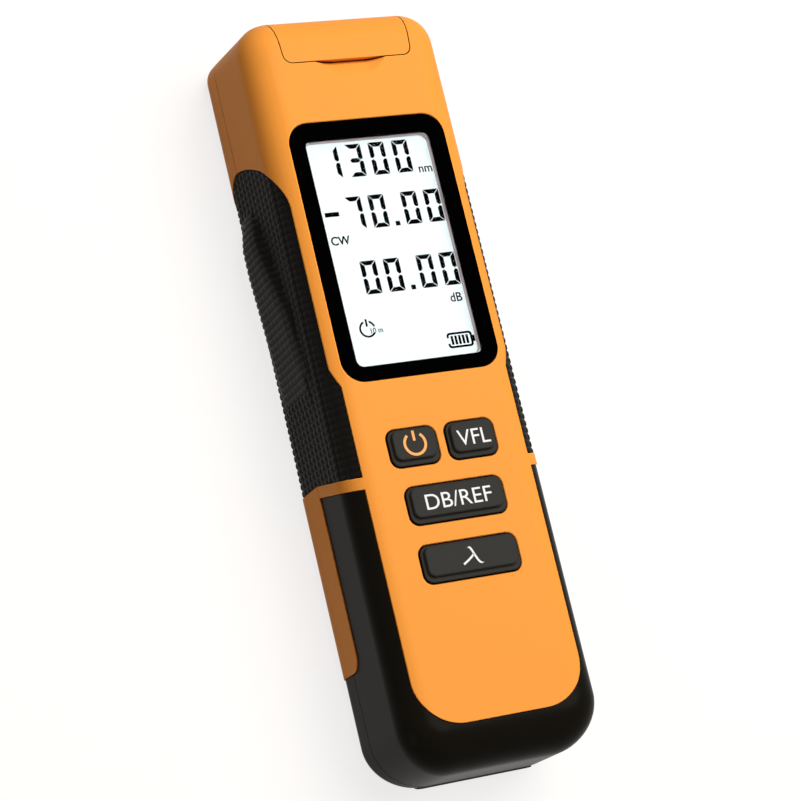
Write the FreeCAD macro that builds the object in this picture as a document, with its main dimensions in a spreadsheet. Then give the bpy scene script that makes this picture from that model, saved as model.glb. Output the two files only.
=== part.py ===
"""Handheld optical power meter with a fault-finding laser, lying on its back.

+Y runs from the foot of the casing to its head, where the flip lid covers the two fibre ports,
+Z comes up out of the display, and +X goes across. The origin is under the middle, on the back face.
Lengths are in millimetres.
"""
import FreeCAD, Part
import Sketcher
import os
import re
from math import cos, radians, sin, tan
from types import SimpleNamespace

V = FreeCAD.Vector
doc = FreeCAD.newDocument("optical_power_meter")

# ---------------------------------------------------------------- driving sizes
SIZES = [
    # casing
    ("body_width", 48.0, "casing, side to side"),
    ("body_length", 175.2, "casing, foot to head"),
    ("body_thick", 31.5, "casing, back to face"),
    ("head_corner_low", 4.2, "plan radius of the corners at the head, at the back"),
    ("head_corner_high", 8.8, "plan radius of the corners at the head, at the face"),
    ("foot_corner", 11.5, "plan radius of the corners at the foot"),
    ("side_round", 7.0, "rounding of the face into the sides"),
    ("head_round", 8.0, "rounding of the face into the head"),
    ("foot_round", 10.0, "rounding of the face into the foot"),
    ("back_round", 4.2, "rounding of the back into the sides"),
    ("back_head_round", 4.0, "rounding of the back into the head"),
    ("back_foot_round", 7.5, "rounding of the back into the foot"),
    ("wall", 2.6, "wall of the moulded shells"),
    ("skin", 1.3, "depth of the recesses that take the rubber"),
    ("skin_sink", 0.3, "how far the bumpers lie below the hard shell"),
    ("grip_sink", 0.12, "how far the flat of the grips lies below it"),
    ("skin_gap", 0.12, "line between rubber and hard shell"),
    ("fit_gap", 0.15, "gap round pieces let into a pocket"),
    # parting line of the two shells
    ("seam_low", 8.8, "height of the parting at the head and the foot"),
    ("seam_high", 13.4, "its height along the side panels"),
    ("seam_foot", 27.3, "from the foot to the side panels"),
    ("seam_panel", 60.0, "length of the side panels"),
    ("seam_corner", 3.5, "corner of the side panels"),
    ("seam_groove", 0.2, "width of the line between the shells"),
    ("groove_depth", 0.6, "depth of that line"),
    # bumpers and grips
    ("panel_inset", 3.9, "from the side of the casing to the face panel between the bumper's arms"),
    ("panel_foot", 9.7, "from the foot to the face panel"),
    ("panel_corner", 10.5, "corner of the face panel"),
    ("bumper_top", 63.1, "from the foot to the top of the bumper, at the face"),
    ("band_slope", 0.19, "rise of the slanting band towards the back"),
    ("band_width", 2.65, "hard band between the bumper and the grip"),
    ("grip_inset", 4.0, "from the side of the casing to the grips' edge on the face"),
    ("grip_drop", 29.1, "from the head to the peak of the grips"),
    ("grip_jog", 20.4, "from the grips' lower end to the step in their front edge"),
    ("jog_length", 5.0, "length of that step"),
    ("grip_bulge", 1.9, "how far the lobe of a grip stands out"),
    ("grip_back", 1.2, "height of the grips' rear edge over the back face"),
    # display
    ("lens_side", 3.6, "black border of the lens at the sides"),
    ("lens_end", 3.7, "black border of the lens at the ends"),
    ("lens_corner", 5.0, "corner of the lens"),
    ("lens_thick", 1.2, "lens"),
    ("lens_sink", 0.1, "lens below the face"),
    ("lens_drop", 27.2, "from the head to the lens"),
    ("gasket_thick", 0.4, "black frame under the lens"),
    ("window_width", 30.8, "clear window across"),
    ("window_length", 53.6, "clear window along"),
    ("window_corner", 1.5, "corner of the window"),
    ("window_shift", 0.4, "window towards the foot of the lens"),
    ("ledge_margin", 0.6, "opening in the shell beyond the window"),
    ("glass_margin", 1.4, "display glass beyond the window"),
    ("glass_thick", 2.0, "display glass"),
    ("light_thick", 2.4, "backlight"),
    ("frame_wall", 1.8, "wall of the display frame"),
    ("segment_thick", 0.06, "dark segments over the glass"),
    ("digit_width", 3.85, "numeral across"),
    ("digit_height", 7.85, "numeral along"),
    ("digit_stroke", 1.05, "stroke of a numeral"),
    # keys
    ("key_drop", 16.1, "from the lens to the middle of the first row"),
    ("key_pitch", 13.2, "row to row"),
    ("key_spread", 14.0, "between the two small keys"),
    ("small_key", 12.1, "hole of a small key across"),
    ("wide_key", 23.7, "hole of a wide key across"),
    ("key_tall", 8.85, "hole of a key along"),
    ("key_corner", 2.3, "corner of a key hole"),
    ("key_gap", 0.3, "gap round a key"),
    ("key_flange", 0.9, "rim that holds a key behind the face, and its thickness"),
    ("key_travel", 0.8, "travel of a key"),
    ("skirt_rise", 0.35, "skirt of a key over the face"),
    ("cap_rise", 1.25, "top of a key over the face"),
    ("cap_side", 0.75, "top inside the skirt at the sides"),
    ("cap_foot", 1.15, "top inside the skirt at the foot side"),
    ("cap_head", 0.35, "top inside the skirt at the head side"),
    ("stem_width", 4.0, "stem under a key"),
    ("plunger_radius", 1.7, "plunger of a switch"),
    ("plunger_length", 3.0, "plunger of a switch"),
    ("slide_gap", 0.1, "gap round a plunger, and under it when pressed"),
    ("switch_width", 6.0, "switch body"),
    ("switch_height", 3.5, "switch body over the board"),
    # board
    ("board_inset", 5.0, "from the side of the casing to the board"),
    ("board_drop", 43.6, "from the head of the casing to the board"),
    ("board_thick", 1.6, "board"),
    ("board_top", 19.0, "height of the board's upper side"),
    ("board_foot", 25.6, "from the foot of the casing to the board"),
    ("board_boss_inset", 8.0, "from the side of the casing to the board screws"),
    ("controller_width", 10.0, "controller package"),
    ("amplifier_width", 5.0, "amplifier package"),
    ("chip_thick", 1.3, "packages on the board"),
    ("chip_margin", 3.2, "from the ends of the board to the packages"),
    ("board_boss_low", 29.6, "from the foot to the lower board screws"),
    ("board_boss_high", 81.6, "from the foot to the upper board screws"),
    ("boss_radius", 2.6, "screw bosses in the front shell"),
    ("board_screw_radius", 1.0, "board screw"),
    ("board_screw_length", 6.0, "board screw under its head"),
    ("screw_bite", 0.25, "screw hole narrower than its screw, cut away as thread"),
    # case screws
    ("case_inset", 7.0, "from the side of the casing to the case screws"),
    ("case_drop", 23.1, "from the head to the upper case screws"),
    ("case_foot", 74.6, "from the foot to the lower case screws"),
    ("case_seat", 5.0, "height of the seat of a case screw"),
    ("case_screw_radius", 1.25, "case screw"),
    ("case_screw_length", 14.0, "case screw under its head"),
    ("case_head_radius", 2.25, "case screw head"),
    ("case_head_thick", 1.6, "case screw head"),
    ("post_radius", 3.3, "screw posts in the rear shell"),
    # lid and hinge
    ("lid_edge", 12.3, "from the head to the lid's edge on the face"),
    ("lid_half_low", 15.5, "half-width of the lid at that edge"),
    ("lid_half_high", 16.3, "half-width of the lid at the head"),
    ("lid_corner", 2.0, "corner of the lid"),
    ("lid_gap", 0.25, "gap round the lid"),
    ("lid_thick", 2.0, "wall of the lid"),
    ("barrel_radius", 2.5, "barrel of the hinge"),
    ("barrel_clear", 0.3, "room round the barrel"),
    ("pin_radius", 0.75, "hinge pin"),
    ("pin_clear", 0.05, "running clearance of the lid on its pin"),
    ("pin_half", 18.0, "half-length of the pin"),
    ("sill_height", 5.1, "height of the rear shell under the lid"),
    ("cheek_thick", 1.5, "cheeks beside the ports"),
    ("scoop_wide", 18.6, "thumb scoop at the lid's edge"),
    ("scoop_floor", 13.0, "its floor there"),
    ("scoop_narrow", 10.0, "its far end"),
    ("scoop_reach", 3.7, "its length"),
    ("scoop_depth", 1.6, "its depth under the lid's edge"),
    ("scoop_shift", 0.4, "its offset across"),
    # ports
    ("plate_inset", 15.1, "from the head to the port plate"),
    ("plate_thick", 2.0, "port plate"),
    ("port_spread", 15.2, "between the two ports"),
    ("port_height", 18.0, "height of the ports"),
    ("meter_radius", 4.0, "threaded barrel of the meter port"),
    ("meter_reach", 8.5, "its reach past the plate"),
    ("laser_radius", 3.5, "barrel of the laser port"),
    ("laser_reach", 7.5, "its reach past the plate"),
    ("ferrule_radius", 1.26, "bore for a 2.5 mm ferrule"),
    ("sleeve_radius", 1.7, "outside of the ceramic sleeve"),
    ("flange_radius", 5.5, "flange of a port behind the plate"),
    ("flange_thick", 2.0, "flange of a port"),
    ("nut_flats", 10.0, "port nut across its flats"),
    ("nut_thick", 1.8, "port nut"),
    ("can_radius", 2.7, "detector can"),
    ("can_length", 3.6, "detector can"),
    ("can_seat", 1.2, "detector can let into the flange"),
    ("laser_tube_radius", 4.5, "laser module"),
    ("laser_tube_length", 22.0, "laser module"),
    # batteries
    ("cell_radius", 5.25, "AAA cell"),
    ("cell_length", 44.5, "AAA cell with its button"),
    ("cell_button", 1.0, "button of a cell"),
    ("cell_pitch", 11.0, "cell to cell"),
    ("cell_height", 7.4, "height of the cells' axes"),
    ("bay_foot", 14.6, "from the foot to the battery bay"),
    ("contact_room", 3.0, "room for a contact at each end of a cell"),
    ("bay_side", 0.75, "room beside the outer cells"),
    ("bay_top", 13.6, "height of the battery bay"),
    ("bay_wall", 1.2, "walls of the battery bay"),
    ("contact_thick", 0.5, "contact plates"),
    ("contact_width", 8.0, "contact plates"),
    # battery cover
    ("cover_width", 36.0, "battery cover"),
    ("cover_thick", 1.6, "battery cover"),
    ("cover_top", 67.6, "from the foot to the cover's upper edge"),
    ("cover_travel", 6.0, "slide that frees the tabs"),
    ("lip_width", 28.0, "thumb lip of the cover at the foot"),
    ("lip_height", 6.5, "height of the lip"),
    ("thumb_width", 16.0, "thumb grooves in the cover"),
    ("thumb_foot", 11.0, "from the foot to the thumb grooves"),
    ("thumb_pitch", 2.4, "thumb groove to thumb groove"),
    ("thumb_depth", 0.6, "thumb grooves"),
    ("tab_length", 5.0, "tabs along the cover's sides"),
    ("tab_reach", 0.9, "tabs beyond the cover"),
    ("tab_thick", 0.7, "tabs"),
    ("tab_pitch", 18.0, "tab to tab"),
]

sizes = doc.addObject("Spreadsheet::Sheet", "Sizes")
for row, (alias, value, note) in enumerate(SIZES, 1):
    sizes.set(f"A{row}", alias)
    sizes.set(f"B{row}", str(value))
    sizes.set(f"C{row}", note)
    sizes.setAlias(f"B{row}", alias)
doc.recompute()

NAMES = {alias for alias, value, note in SIZES}
S = SimpleNamespace(**{alias: float(sizes.get(alias)) for alias in NAMES})
FAR = 6.0  # how far cutting tools run past the casing

# expressions that several pieces share
FOOT = "(-body_length / 2)"
HEAD = "(body_length / 2)"
LENS_WIDTH = "(window_width + 2 * lens_side)"
LENS_LENGTH = "(window_length + 2 * lens_end)"
LENS_Y = f"({HEAD} - lens_drop - {LENS_LENGTH} / 2)"
WINDOW_Y = f"({LENS_Y} - window_shift)"
INNER_FACE = "(body_thick - wall)"
FIRST_ROW = f"({HEAD} - lens_drop - {LENS_LENGTH} - key_drop)"
HINGE_Y = f"({HEAD} - barrel_radius)"
PLATE_Y = f"({HEAD} - plate_inset)"
PANEL_START = f"({FOOT} + seam_foot)"


# ---------------------------------------------------------------- helpers
def linked(text):
    """Write every size named in an expression as its cell in the sheet."""
    return re.sub(r"[a-z][a-z_]+", lambda m: "Sizes." + m[0] if m[0] in NAMES else m[0], str(text))


def bind(item, **properties):
    for name, text in properties.items():
        item.setExpression(name, linked(text))
    return item


def place(item, x="0", y="0", z="0"):
    for axis, text in zip("xyz", (x, y, z)):
        item.setExpression(f"Placement.Base.{axis}", linked(text))
    return item


def block(name, x, y, z, along_x, along_y, along_z):
    """A box from its low corner."""
    item = doc.addObject("Part::Box", name)
    bind(item, Length=along_x, Width=along_y, Height=along_z)
    return place(item, x, y, z)


TURNS = {
    "x": FreeCAD.Rotation(V(0, 1, 0), 90),
    "y": FreeCAD.Rotation(V(1, 0, 0), -90),
    "z": FreeCAD.Rotation(),
}


def rod(name, direction, x, y, z, radius, length):
    """A cylinder that starts at x, y, z and runs along an axis."""
    item = doc.addObject("Part::Cylinder", name)
    item.Placement = FreeCAD.Placement(V(), TURNS[direction])
    bind(item, Radius=radius, Height=length)
    return place(item, x, y, z)


def join(name, *items):
    item = doc.addObject("Part::MultiFuse", name)
    item.Shapes = list(items)
    return item


def cut(name, base, *tools):
    item = doc.addObject("Part::Cut", name)
    item.Base = base
    item.Tool = tools[0] if len(tools) == 1 else join(name + "_tools", *tools)
    return item


def common(name, first, second):
    item = doc.addObject("Part::Common", name)
    item.Base = first
    item.Tool = second
    return item


def group(name, *items):
    """Separate like solids that share one node."""
    item = doc.addObject("Part::Compound", name)
    item.Links = list(items)
    return item


def solid(name, shape):
    """A shape that no feature of the document can draw."""
    item = doc.addObject("Part::Feature", name)
    item.Shape = shape
    return item


def sketch_on(body, name, plane, x="0", y="0", z="0"):
    sketch = body.newObject("Sketcher::SketchObject", name)
    support = next(f for f in body.Origin.OriginFeatures if f.Role == plane)
    sketch.AttachmentSupport = [(support, "")]
    sketch.MapMode = "FlatFace"
    for axis, text in zip("xyz", (x, y, z)):
        sketch.setExpression(f"AttachmentOffset.Base.{axis}", linked(text))
    return sketch


def dimension(sketch, name, text, *constraint):
    index = sketch.addConstraint(Sketcher.Constraint(*constraint))
    sketch.renameConstraint(index, name)
    sketch.setExpression(f"Constraints.{name}", linked(text))


def draw_rounded(sketch, width, length, low_corner, high_corner):
    """A rectangle about the sketch's origin, with one corner radius at each end."""
    half, reach, corner = 20.0, 20.0, 1.0
    quarter = radians(90)
    centres = [(half - corner, corner - reach), (half - corner, reach - corner),
               (corner - half, reach - corner), (corner - half, corner - reach)]
    for turn, (x, y) in enumerate(centres):
        start = (turn - 1) * quarter
        before = centres[turn - 1]
        edge = V(cos(start), sin(start), 0) * corner
        sketch.addGeometry(Part.LineSegment(V(*before, 0) + edge, V(x, y, 0) + edge))
        circle = Part.Circle(V(x, y, 0), V(0, 0, 1), corner)
        sketch.addGeometry(Part.ArcOfCircle(circle, start, start + quarter))
    for index in range(8):
        sketch.addConstraint(Sketcher.Constraint("Tangent", index, 2, (index + 1) % 8, 1))
    for index in (0, 4):
        sketch.addConstraint(Sketcher.Constraint("Horizontal", index))
    for index in (2, 6):
        sketch.addConstraint(Sketcher.Constraint("Vertical", index))
    sketch.addConstraint(Sketcher.Constraint("Equal", 1, 7))
    sketch.addConstraint(Sketcher.Constraint("Equal", 3, 5))
    dimension(sketch, "right", f"({width}) / 2", "DistanceX", -1, 1, 2, 1, half)
    dimension(sketch, "left", f"({width}) / 2", "DistanceX", 6, 1, -1, 1, half)
    dimension(sketch, "top", f"({length}) / 2", "DistanceY", -1, 1, 4, 1, reach)
    dimension(sketch, "bottom", f"({length}) / 2", "DistanceY", 0, 1, -1, 1, reach)
    dimension(sketch, "low_corner", low_corner, "Radius", 1, corner)
    dimension(sketch, "high_corner", high_corner, "Radius", 3, corner)


def draw_polygon(sketch, points):
    """Straight edges between points, each point dimensioned from the origin."""
    count = len(points)
    rough = [V(cos(radians(360 * i / count)), sin(radians(360 * i / count)), 0) for i in range(count)]
    for index in range(count):
        sketch.addGeometry(Part.LineSegment(rough[index], rough[(index + 1) % count]))
    for index in range(count):
        sketch.addConstraint(Sketcher.Constraint("Coincident", index, 2, (index + 1) % count, 1))
    for index, (across, up) in enumerate(points):
        dimension(sketch, f"across{index}", across, "DistanceX", -1, 1, index, 1, 1.0)
        dimension(sketch, f"up{index}", up, "DistanceY", -1, 1, index, 1, 1.0)


def pad(body, sketch, length, midplane=False):
    feature = body.newObject("PartDesign::Pad", sketch.Name + "_pad")
    feature.Profile = sketch
    feature.Midplane = midplane
    return bind(feature, Length=length)


def pocket(body, sketch, depth):
    feature = body.newObject("PartDesign::Pocket", sketch.Name + "_pocket")
    feature.Profile = sketch
    return bind(feature, Length=depth)


def dress(body, kind, size, wanted):
    """Fillet or chamfer the edges of the body's tip that a test picks out."""
    doc.recompute()
    tip = body.Tip
    names = [f"Edge{i}" for i, edge in enumerate(tip.Shape.Edges, 1) if wanted(edge)]
    feature = body.newObject("PartDesign::" + kind, f"{body.Name}_{kind.lower()}_{len(body.Group)}")
    feature.Base = (tip, names)
    return bind(feature, **{"Radius" if kind == "Fillet" else "Size": size})


def level(height):
    """A test for edges that lie flat at a height."""
    return lambda edge: all(abs(v.Z - height) < 1e-4 for v in edge.Vertexes)


def plate(name, width, length, corner, height, x="0", y="0", z="0", high_corner=None):
    """A rounded rectangle, padded up from z and centred at x, y."""
    body = doc.addObject("PartDesign::Body", name)
    sketch = sketch_on(body, name + "_outline", "XY_Plane")
    draw_rounded(sketch, width, length, corner, high_corner or corner)
    pad(body, sketch, height)
    return place(body, x, y, z)


def add_step(body, name, width, length, corner, height, x="0", y="0", z="0"):
    sketch = sketch_on(body, name, "XY_Plane", x, y, z)
    draw_rounded(sketch, width, length, corner, corner)
    return pad(body, sketch, height)


def add_pocket(body, name, width, length, corner, depth, x="0", y="0", z="0"):
    sketch = sketch_on(body, name, "XY_Plane", x, y, z)
    draw_rounded(sketch, width, length, corner, corner)
    return pocket(body, sketch, depth)


def side_prism(name, points, width):
    """A polygon in the side view, as wide as given, across the middle."""
    body = doc.addObject("PartDesign::Body", name)
    sketch = sketch_on(body, name + "_outline", "YZ_Plane")
    draw_polygon(sketch, points)
    pad(body, sketch, width, midplane=True)
    return body


def mirror(name, source):
    item = doc.addObject("Part::Mirroring", name)
    item.Source = source
    item.Normal = V(1, 0, 0)
    return item


pieces = []


def piece(item, label):
    """Give a finished sub-part the name of its node."""
    item.Label = label
    pieces.append(item)
    return item


# ---------------------------------------------------------------- forms of the casing
def casing_form(name, *insets):
    """The whole outer form, drawn in on every side by the sum of the named insets.

    The upright corners at the head grow rounder from the back to the face.
    """
    depth = "(" + " + ".join(insets or ("0",)) + ")"
    reach = sum(getattr(S, inset) for inset in insets)
    blank = block(name + "_blank", f"{depth} - body_width / 2", f"{depth} - {HEAD}", depth,
                  f"body_width - 2 * {depth}", f"body_length - 2 * {depth}", f"body_thick - 2 * {depth}")
    doc.recompute()
    top, low = S.body_thick - reach, reach
    foot, head = reach - S.body_length / 2, S.body_length / 2 - reach

    uprights = []
    for index, edge in enumerate(blank.Shape.Edges, 1):
        start, end = edge.valueAt(edge.FirstParameter), edge.valueAt(edge.LastParameter)
        if abs(start.z - end.z) > 1:
            if start.y < 0:
                radii = (S.foot_corner - reach, S.foot_corner - reach)
            else:
                radii = (S.head_corner_low - reach, S.head_corner_high - reach)
            uprights.append((index, *(radii if end.z > start.z else radii[::-1])))
    upright_form = doc.addObject("Part::Fillet", name + "_uprights")
    upright_form.Base = blank
    upright_form.Edges = uprights
    doc.recompute()

    def rounding(y, at_foot, at_head, at_side):
        return (at_foot if y < foot + 1e-4 else at_head if y > head - 1e-4 else at_side) - reach

    rounds = []
    for index, edge in enumerate(upright_form.Shape.Edges, 1):
        ends = [edge.valueAt(p).y for p in (edge.FirstParameter, edge.LastParameter)]
        if level(top)(edge):
            rounds.append((index, *(rounding(y, S.foot_round, S.head_round, S.side_round) for y in ends)))
        elif level(low)(edge):
            rounds.append((index, *(rounding(y, S.back_foot_round, S.back_head_round, S.back_round) for y in ends)))
    # the straight edges come last, so that their own radii hold where they meet the corners
    rounds.sort(key=lambda item: item[1] == item[2])
    form = doc.addObject("Part::Fillet", name)
    form.Base = upright_form
    form.Edges = rounds
    return form


outer = casing_form("outer_form")
core = casing_form("core_form", "skin")
hollow = casing_form("hollow_form", "wall")
bumper_form = casing_form("bumper_form", "skin_sink")
grip_form = casing_form("grip_form", "grip_sink")
groove_form = casing_form("groove_form", "groove_depth")
lid_inner = casing_form("lid_inner_form", "lid_thick")
cover_inner = casing_form("cover_inner_form", "cover_thick")
cover_room_form = casing_form("cover_room_form", "cover_thick", "fit_gap")


def upper_half(name, gap="0"):
    """Everything over the stepped parting line, drawn back from it by a gap."""
    above = block(name + "_above", f"-body_width / 2 - {FAR}", f"{FOOT} - {FAR}", f"seam_low + {gap}",
                  f"body_width + {2 * FAR}", f"body_length + {2 * FAR}", "body_thick")
    panel = doc.addObject("PartDesign::Body", name + "_panel")
    sketch = sketch_on(panel, name + "_panel_outline", "YZ_Plane")
    draw_polygon(sketch, [(f"{PANEL_START} - {gap}", "seam_low - 1"),
                          (f"{PANEL_START} + seam_panel", "seam_low - 1"),
                          (f"{PANEL_START} + seam_panel", f"seam_high + {gap}"),
                          (f"{PANEL_START} - {gap}", f"seam_high + {gap}")])
    pad(panel, sketch, f"body_width + {4 * FAR}", midplane=True)
    doc.recompute()
    foot_y = min(v.Y for v in panel.Shape.Vertexes)
    high_z = max(v.Z for v in panel.Shape.Vertexes)

    def front_corner(edge):
        return all(abs(v.Y - foot_y) < 1e-4 and abs(v.Z - high_z) < 1e-4 for v in edge.Vertexes)

    dress(panel, "Fillet", "seam_corner", front_corner)
    return cut(name, above, panel)


upper = upper_half("upper_half")
upper_open = upper_half("upper_half_open", "seam_groove")
seam_line = cut("seam_line", cut("seam_band", upper, upper_open), groove_form)

EDGE_HIGH = f"({FOOT} + bumper_top - band_slope * {FAR})"
EDGE_SEAM = f"({FOOT} + bumper_top + band_slope * (body_thick - seam_high))"


def bumper_region(name, gap, above):
    """Where the front bumper lies: round the face panel and below the slanting band."""
    arms = side_prism(name + "_arms", [
        (f"{FOOT} - {FAR}", "seam_low - 2"),
        (f"{EDGE_SEAM} + band_slope * (seam_high - seam_low + 2) - {gap}", "seam_low - 2"),
        (f"{EDGE_HIGH} - {gap}", f"body_thick + {FAR}"),
        (f"{FOOT} - {FAR}", f"body_thick + {FAR}")], f"body_width + {2 * FAR}")
    panel = plate(name + "_panel", f"2 * (body_width / 2 - panel_inset + {gap})", f"body_length + 2 * {gap}",
                  f"panel_corner + {gap}", f"body_thick + {FAR}", y="panel_foot")
    return cut(name, common(name + "_upper", arms, above), panel)


def rear_bumper_region(name, gap):
    """Where the rear bumper lies: round the foot, up to the side panels and the flat of the back."""
    foot_block = block(name + "_foot", f"-body_width / 2 - {FAR}", f"{FOOT} - {FAR}", f"-{FAR}",
                       f"body_width + {2 * FAR}", f"seam_foot + {FAR} - {gap}", f"body_thick + {FAR}")
    back_panel = plate(name + "_back", f"body_width - 2 * back_round + 2 * {gap}",
                       f"body_length - 2 * back_round + 2 * {gap}",
                       f"foot_corner - back_round + {gap}", "2 * seam_low", z="-seam_low")
    return cut(name, foot_block, back_panel, upper)


front_region = bumper_region("front_bumper_region", "0", upper)
rear_region = rear_bumper_region("rear_bumper_region", "0")


def grip_region(name, gap):
    """Outline of the right grip in the side view, as a prism outside its edge on the face."""
    head, foot, top = S.body_length / 2, -S.body_length / 2, S.body_thick
    peak = head - S.grip_drop + gap
    edge = top - 1.75 + gap            # where the grip's front edge runs along the rounding
    tail = top - 1.75 - gap            # the same, for the part of the outline that turns back
    band = foot + S.bumper_top + S.band_width - gap
    x = S.body_width / 2 - S.grip_inset - gap

    def at(z, y):
        return V(x, y, z)

    low_back = at(S.grip_back - gap, band + S.band_slope * (top - S.seam_high))
    low_seam = at(S.seam_high, low_back.y)
    low_face = at(top + FAR, band - S.band_slope * FAR)
    jog_low = at(top + FAR, band + S.grip_jog)
    jog_edge = at(top - 0.6 + gap, band + S.grip_jog)
    jog_high = at(edge, band + S.grip_jog + S.jog_length)
    shoulder = at(edge, peak - 18.0)
    bend = at(edge - 1.4, peak - 11.1)
    crown = at(edge - 8.3, peak - 4.4)
    brow = at(edge - 14.5, peak - 1.7)
    summit = at(edge - 21.0, peak)
    fall = at(tail - 24.3, peak - 0.9)
    heel = at(tail - 26.6, peak - 3.6)
    high_back = at(S.grip_back - gap, peak - 6.5)

    corners = [high_back, low_back, low_seam, low_face, jog_low, jog_edge, jog_high, shoulder]
    edges = [Part.LineSegment(a, b).toShape() for a, b in zip(corners, corners[1:])]
    for arc in ((shoulder, bend, crown), (crown, brow, summit), (summit, fall, heel)):
        edges.append(Part.Arc(*arc).toShape())
    edges.append(Part.LineSegment(heel, high_back).toShape())
    return solid(name, Part.Face(Part.Wire(edges)).extrude(V(S.body_width / 2 - x + FAR, 0, 0)))


def grip_lobe():
    """The thicker palm lobe of the right grip: straight-edged sections joined along the casing."""
    head = S.body_length / 2
    half, top = S.body_width / 2, S.body_thick
    # distance from the head, share of the full bulge, depth of the valley below the face
    stations = [(102.6, -0.5, 6.2), (82.0, 0.3, 6.6), (67.0, 0.62, 9.0), (53.5, 1.0, 13.8),
                (47.0, 1.0, 15.6), (42.0, 0.5, 17.0), (36.5, -0.5, 18.0)]
    wires = []
    for drop, share, valley in stations:
        y, out = head - drop, half + share * S.grip_bulge
        start = top - valley
        profile = [V(half - 1.0, y, start + 0.5), V(out - 0.35, y, start - 1.8), V(out, y, start - 4.5),
                   V(out, y, 7.0), V(out - 0.6, y, 4.6), V(half - 1.4, y, 2.6)]
        inner = half - 2 * S.wall
        corners = [V(inner, y, start + 0.5), *profile, V(inner, y, 2.6)]
        wires.append(Part.makePolygon(corners + corners[:1]))
    return solid("grip_lobe", Part.makeLoft(wires, True, True))


grip_room = grip_region("grip_room", 0.0)
grip_outline = grip_region("grip_outline", -S.skin_gap)
grip_room_left = mirror("grip_room_left", grip_room)


# ---------------------------------------------------------------- openings in the face
def opening(name, width, length, corner, depth, x="0", y="0", bevel="0.2"):
    """A cutting tool for a pocket or hole in the face, with a small bevel at its rim."""
    body = plate(name, width, length, corner, f"{depth} + {FAR}", x, y, f"body_thick - {depth}")
    rim = doc.addObject("PartDesign::Body", name + "_rim")
    sketch = sketch_on(rim, name + "_rim_outline", "XY_Plane")
    draw_rounded(sketch, f"{width} + 2 * {bevel}", f"{length} + 2 * {bevel}",
                 f"{corner} + {bevel}", f"{corner} + {bevel}")
    pad(rim, sketch, f"{bevel} + {FAR}")
    dress(rim, "Chamfer", bevel, level(0.0))
    place(rim, x, y, f"body_thick - {bevel}")
    return join(name + "_tool", body, rim)


KEYS = [
    # label, width of the hole, place across, row
    ("power", "small_key", "-key_spread / 2", 0),
    ("fault", "small_key", "key_spread / 2", 0),
    ("reference", "wide_key", "0", 1),
    ("wavelength", "wide_key", "0", 2),
]


def row_y(row):
    return f"({FIRST_ROW} - {row} * key_pitch)"


lens_pocket = opening("lens_pocket", f"{LENS_WIDTH} + 2 * fit_gap", f"{LENS_LENGTH} + 2 * fit_gap",
                      "lens_corner + fit_gap", "(lens_sink + lens_thick + gasket_thick)", y=LENS_Y)
window_hole = plate("window_hole", "window_width + 2 * ledge_margin", "window_length + 2 * ledge_margin",
                    "window_corner + ledge_margin", f"wall + {FAR}", y=WINDOW_Y, z=f"{INNER_FACE} - 1")
GLASS_WIDTH, GLASS_LENGTH = "(window_width + 2 * glass_margin)", "(window_length + 2 * glass_margin)"
FRAME_WIDTH = f"({GLASS_WIDTH} + 2 * fit_gap + 2 * frame_wall)"
FRAME_LENGTH = f"({GLASS_LENGTH} + 2 * fit_gap + 2 * frame_wall)"
frame_room = plate("frame_room", f"{FRAME_WIDTH} + 2 * fit_gap", f"{FRAME_LENGTH} + 2 * fit_gap",
                   "window_corner + frame_wall + fit_gap", "10", y=WINDOW_Y, z=f"{INNER_FACE} - 10")
key_holes = [opening(f"{label}_hole", width, "key_tall", "key_corner", "(wall + 1)", x, row_y(row))
             for label, width, x, row in KEYS]


def lid_plan(name, gap):
    """The lid's outline from above: straight edge, round corners, widening to the head."""
    body = doc.addObject("PartDesign::Body", name)
    sketch = sketch_on(body, name + "_outline", "XY_Plane")
    widen = f"(lid_half_high - lid_half_low) * {FAR} / lid_edge"
    low, high = f"(lid_half_low + {gap})", f"(lid_half_high + {gap} + {widen})"
    draw_polygon(sketch, [(f"-{low}", f"{HEAD} - lid_edge - {gap}"), (low, f"{HEAD} - lid_edge - {gap}"),
                          (high, f"{HEAD} + {FAR}"), (f"-{high}", f"{HEAD} + {FAR}")])
    pad(body, sketch, f"body_thick + {FAR}")
    doc.recompute()
    edge_y = min(v.Y for v in body.Shape.Vertexes)

    def low_corner(edge):
        ends = edge.Vertexes
        return all(abs(v.Y - edge_y) < 1e-4 for v in ends) and abs(ends[0].Z - ends[1].Z) > 1

    dress(body, "Fillet", f"lid_corner + {gap}", low_corner)
    return body


lid_room = lid_plan("lid_room", "lid_gap")
lid_shape = lid_plan("lid_shape", "0")


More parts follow.
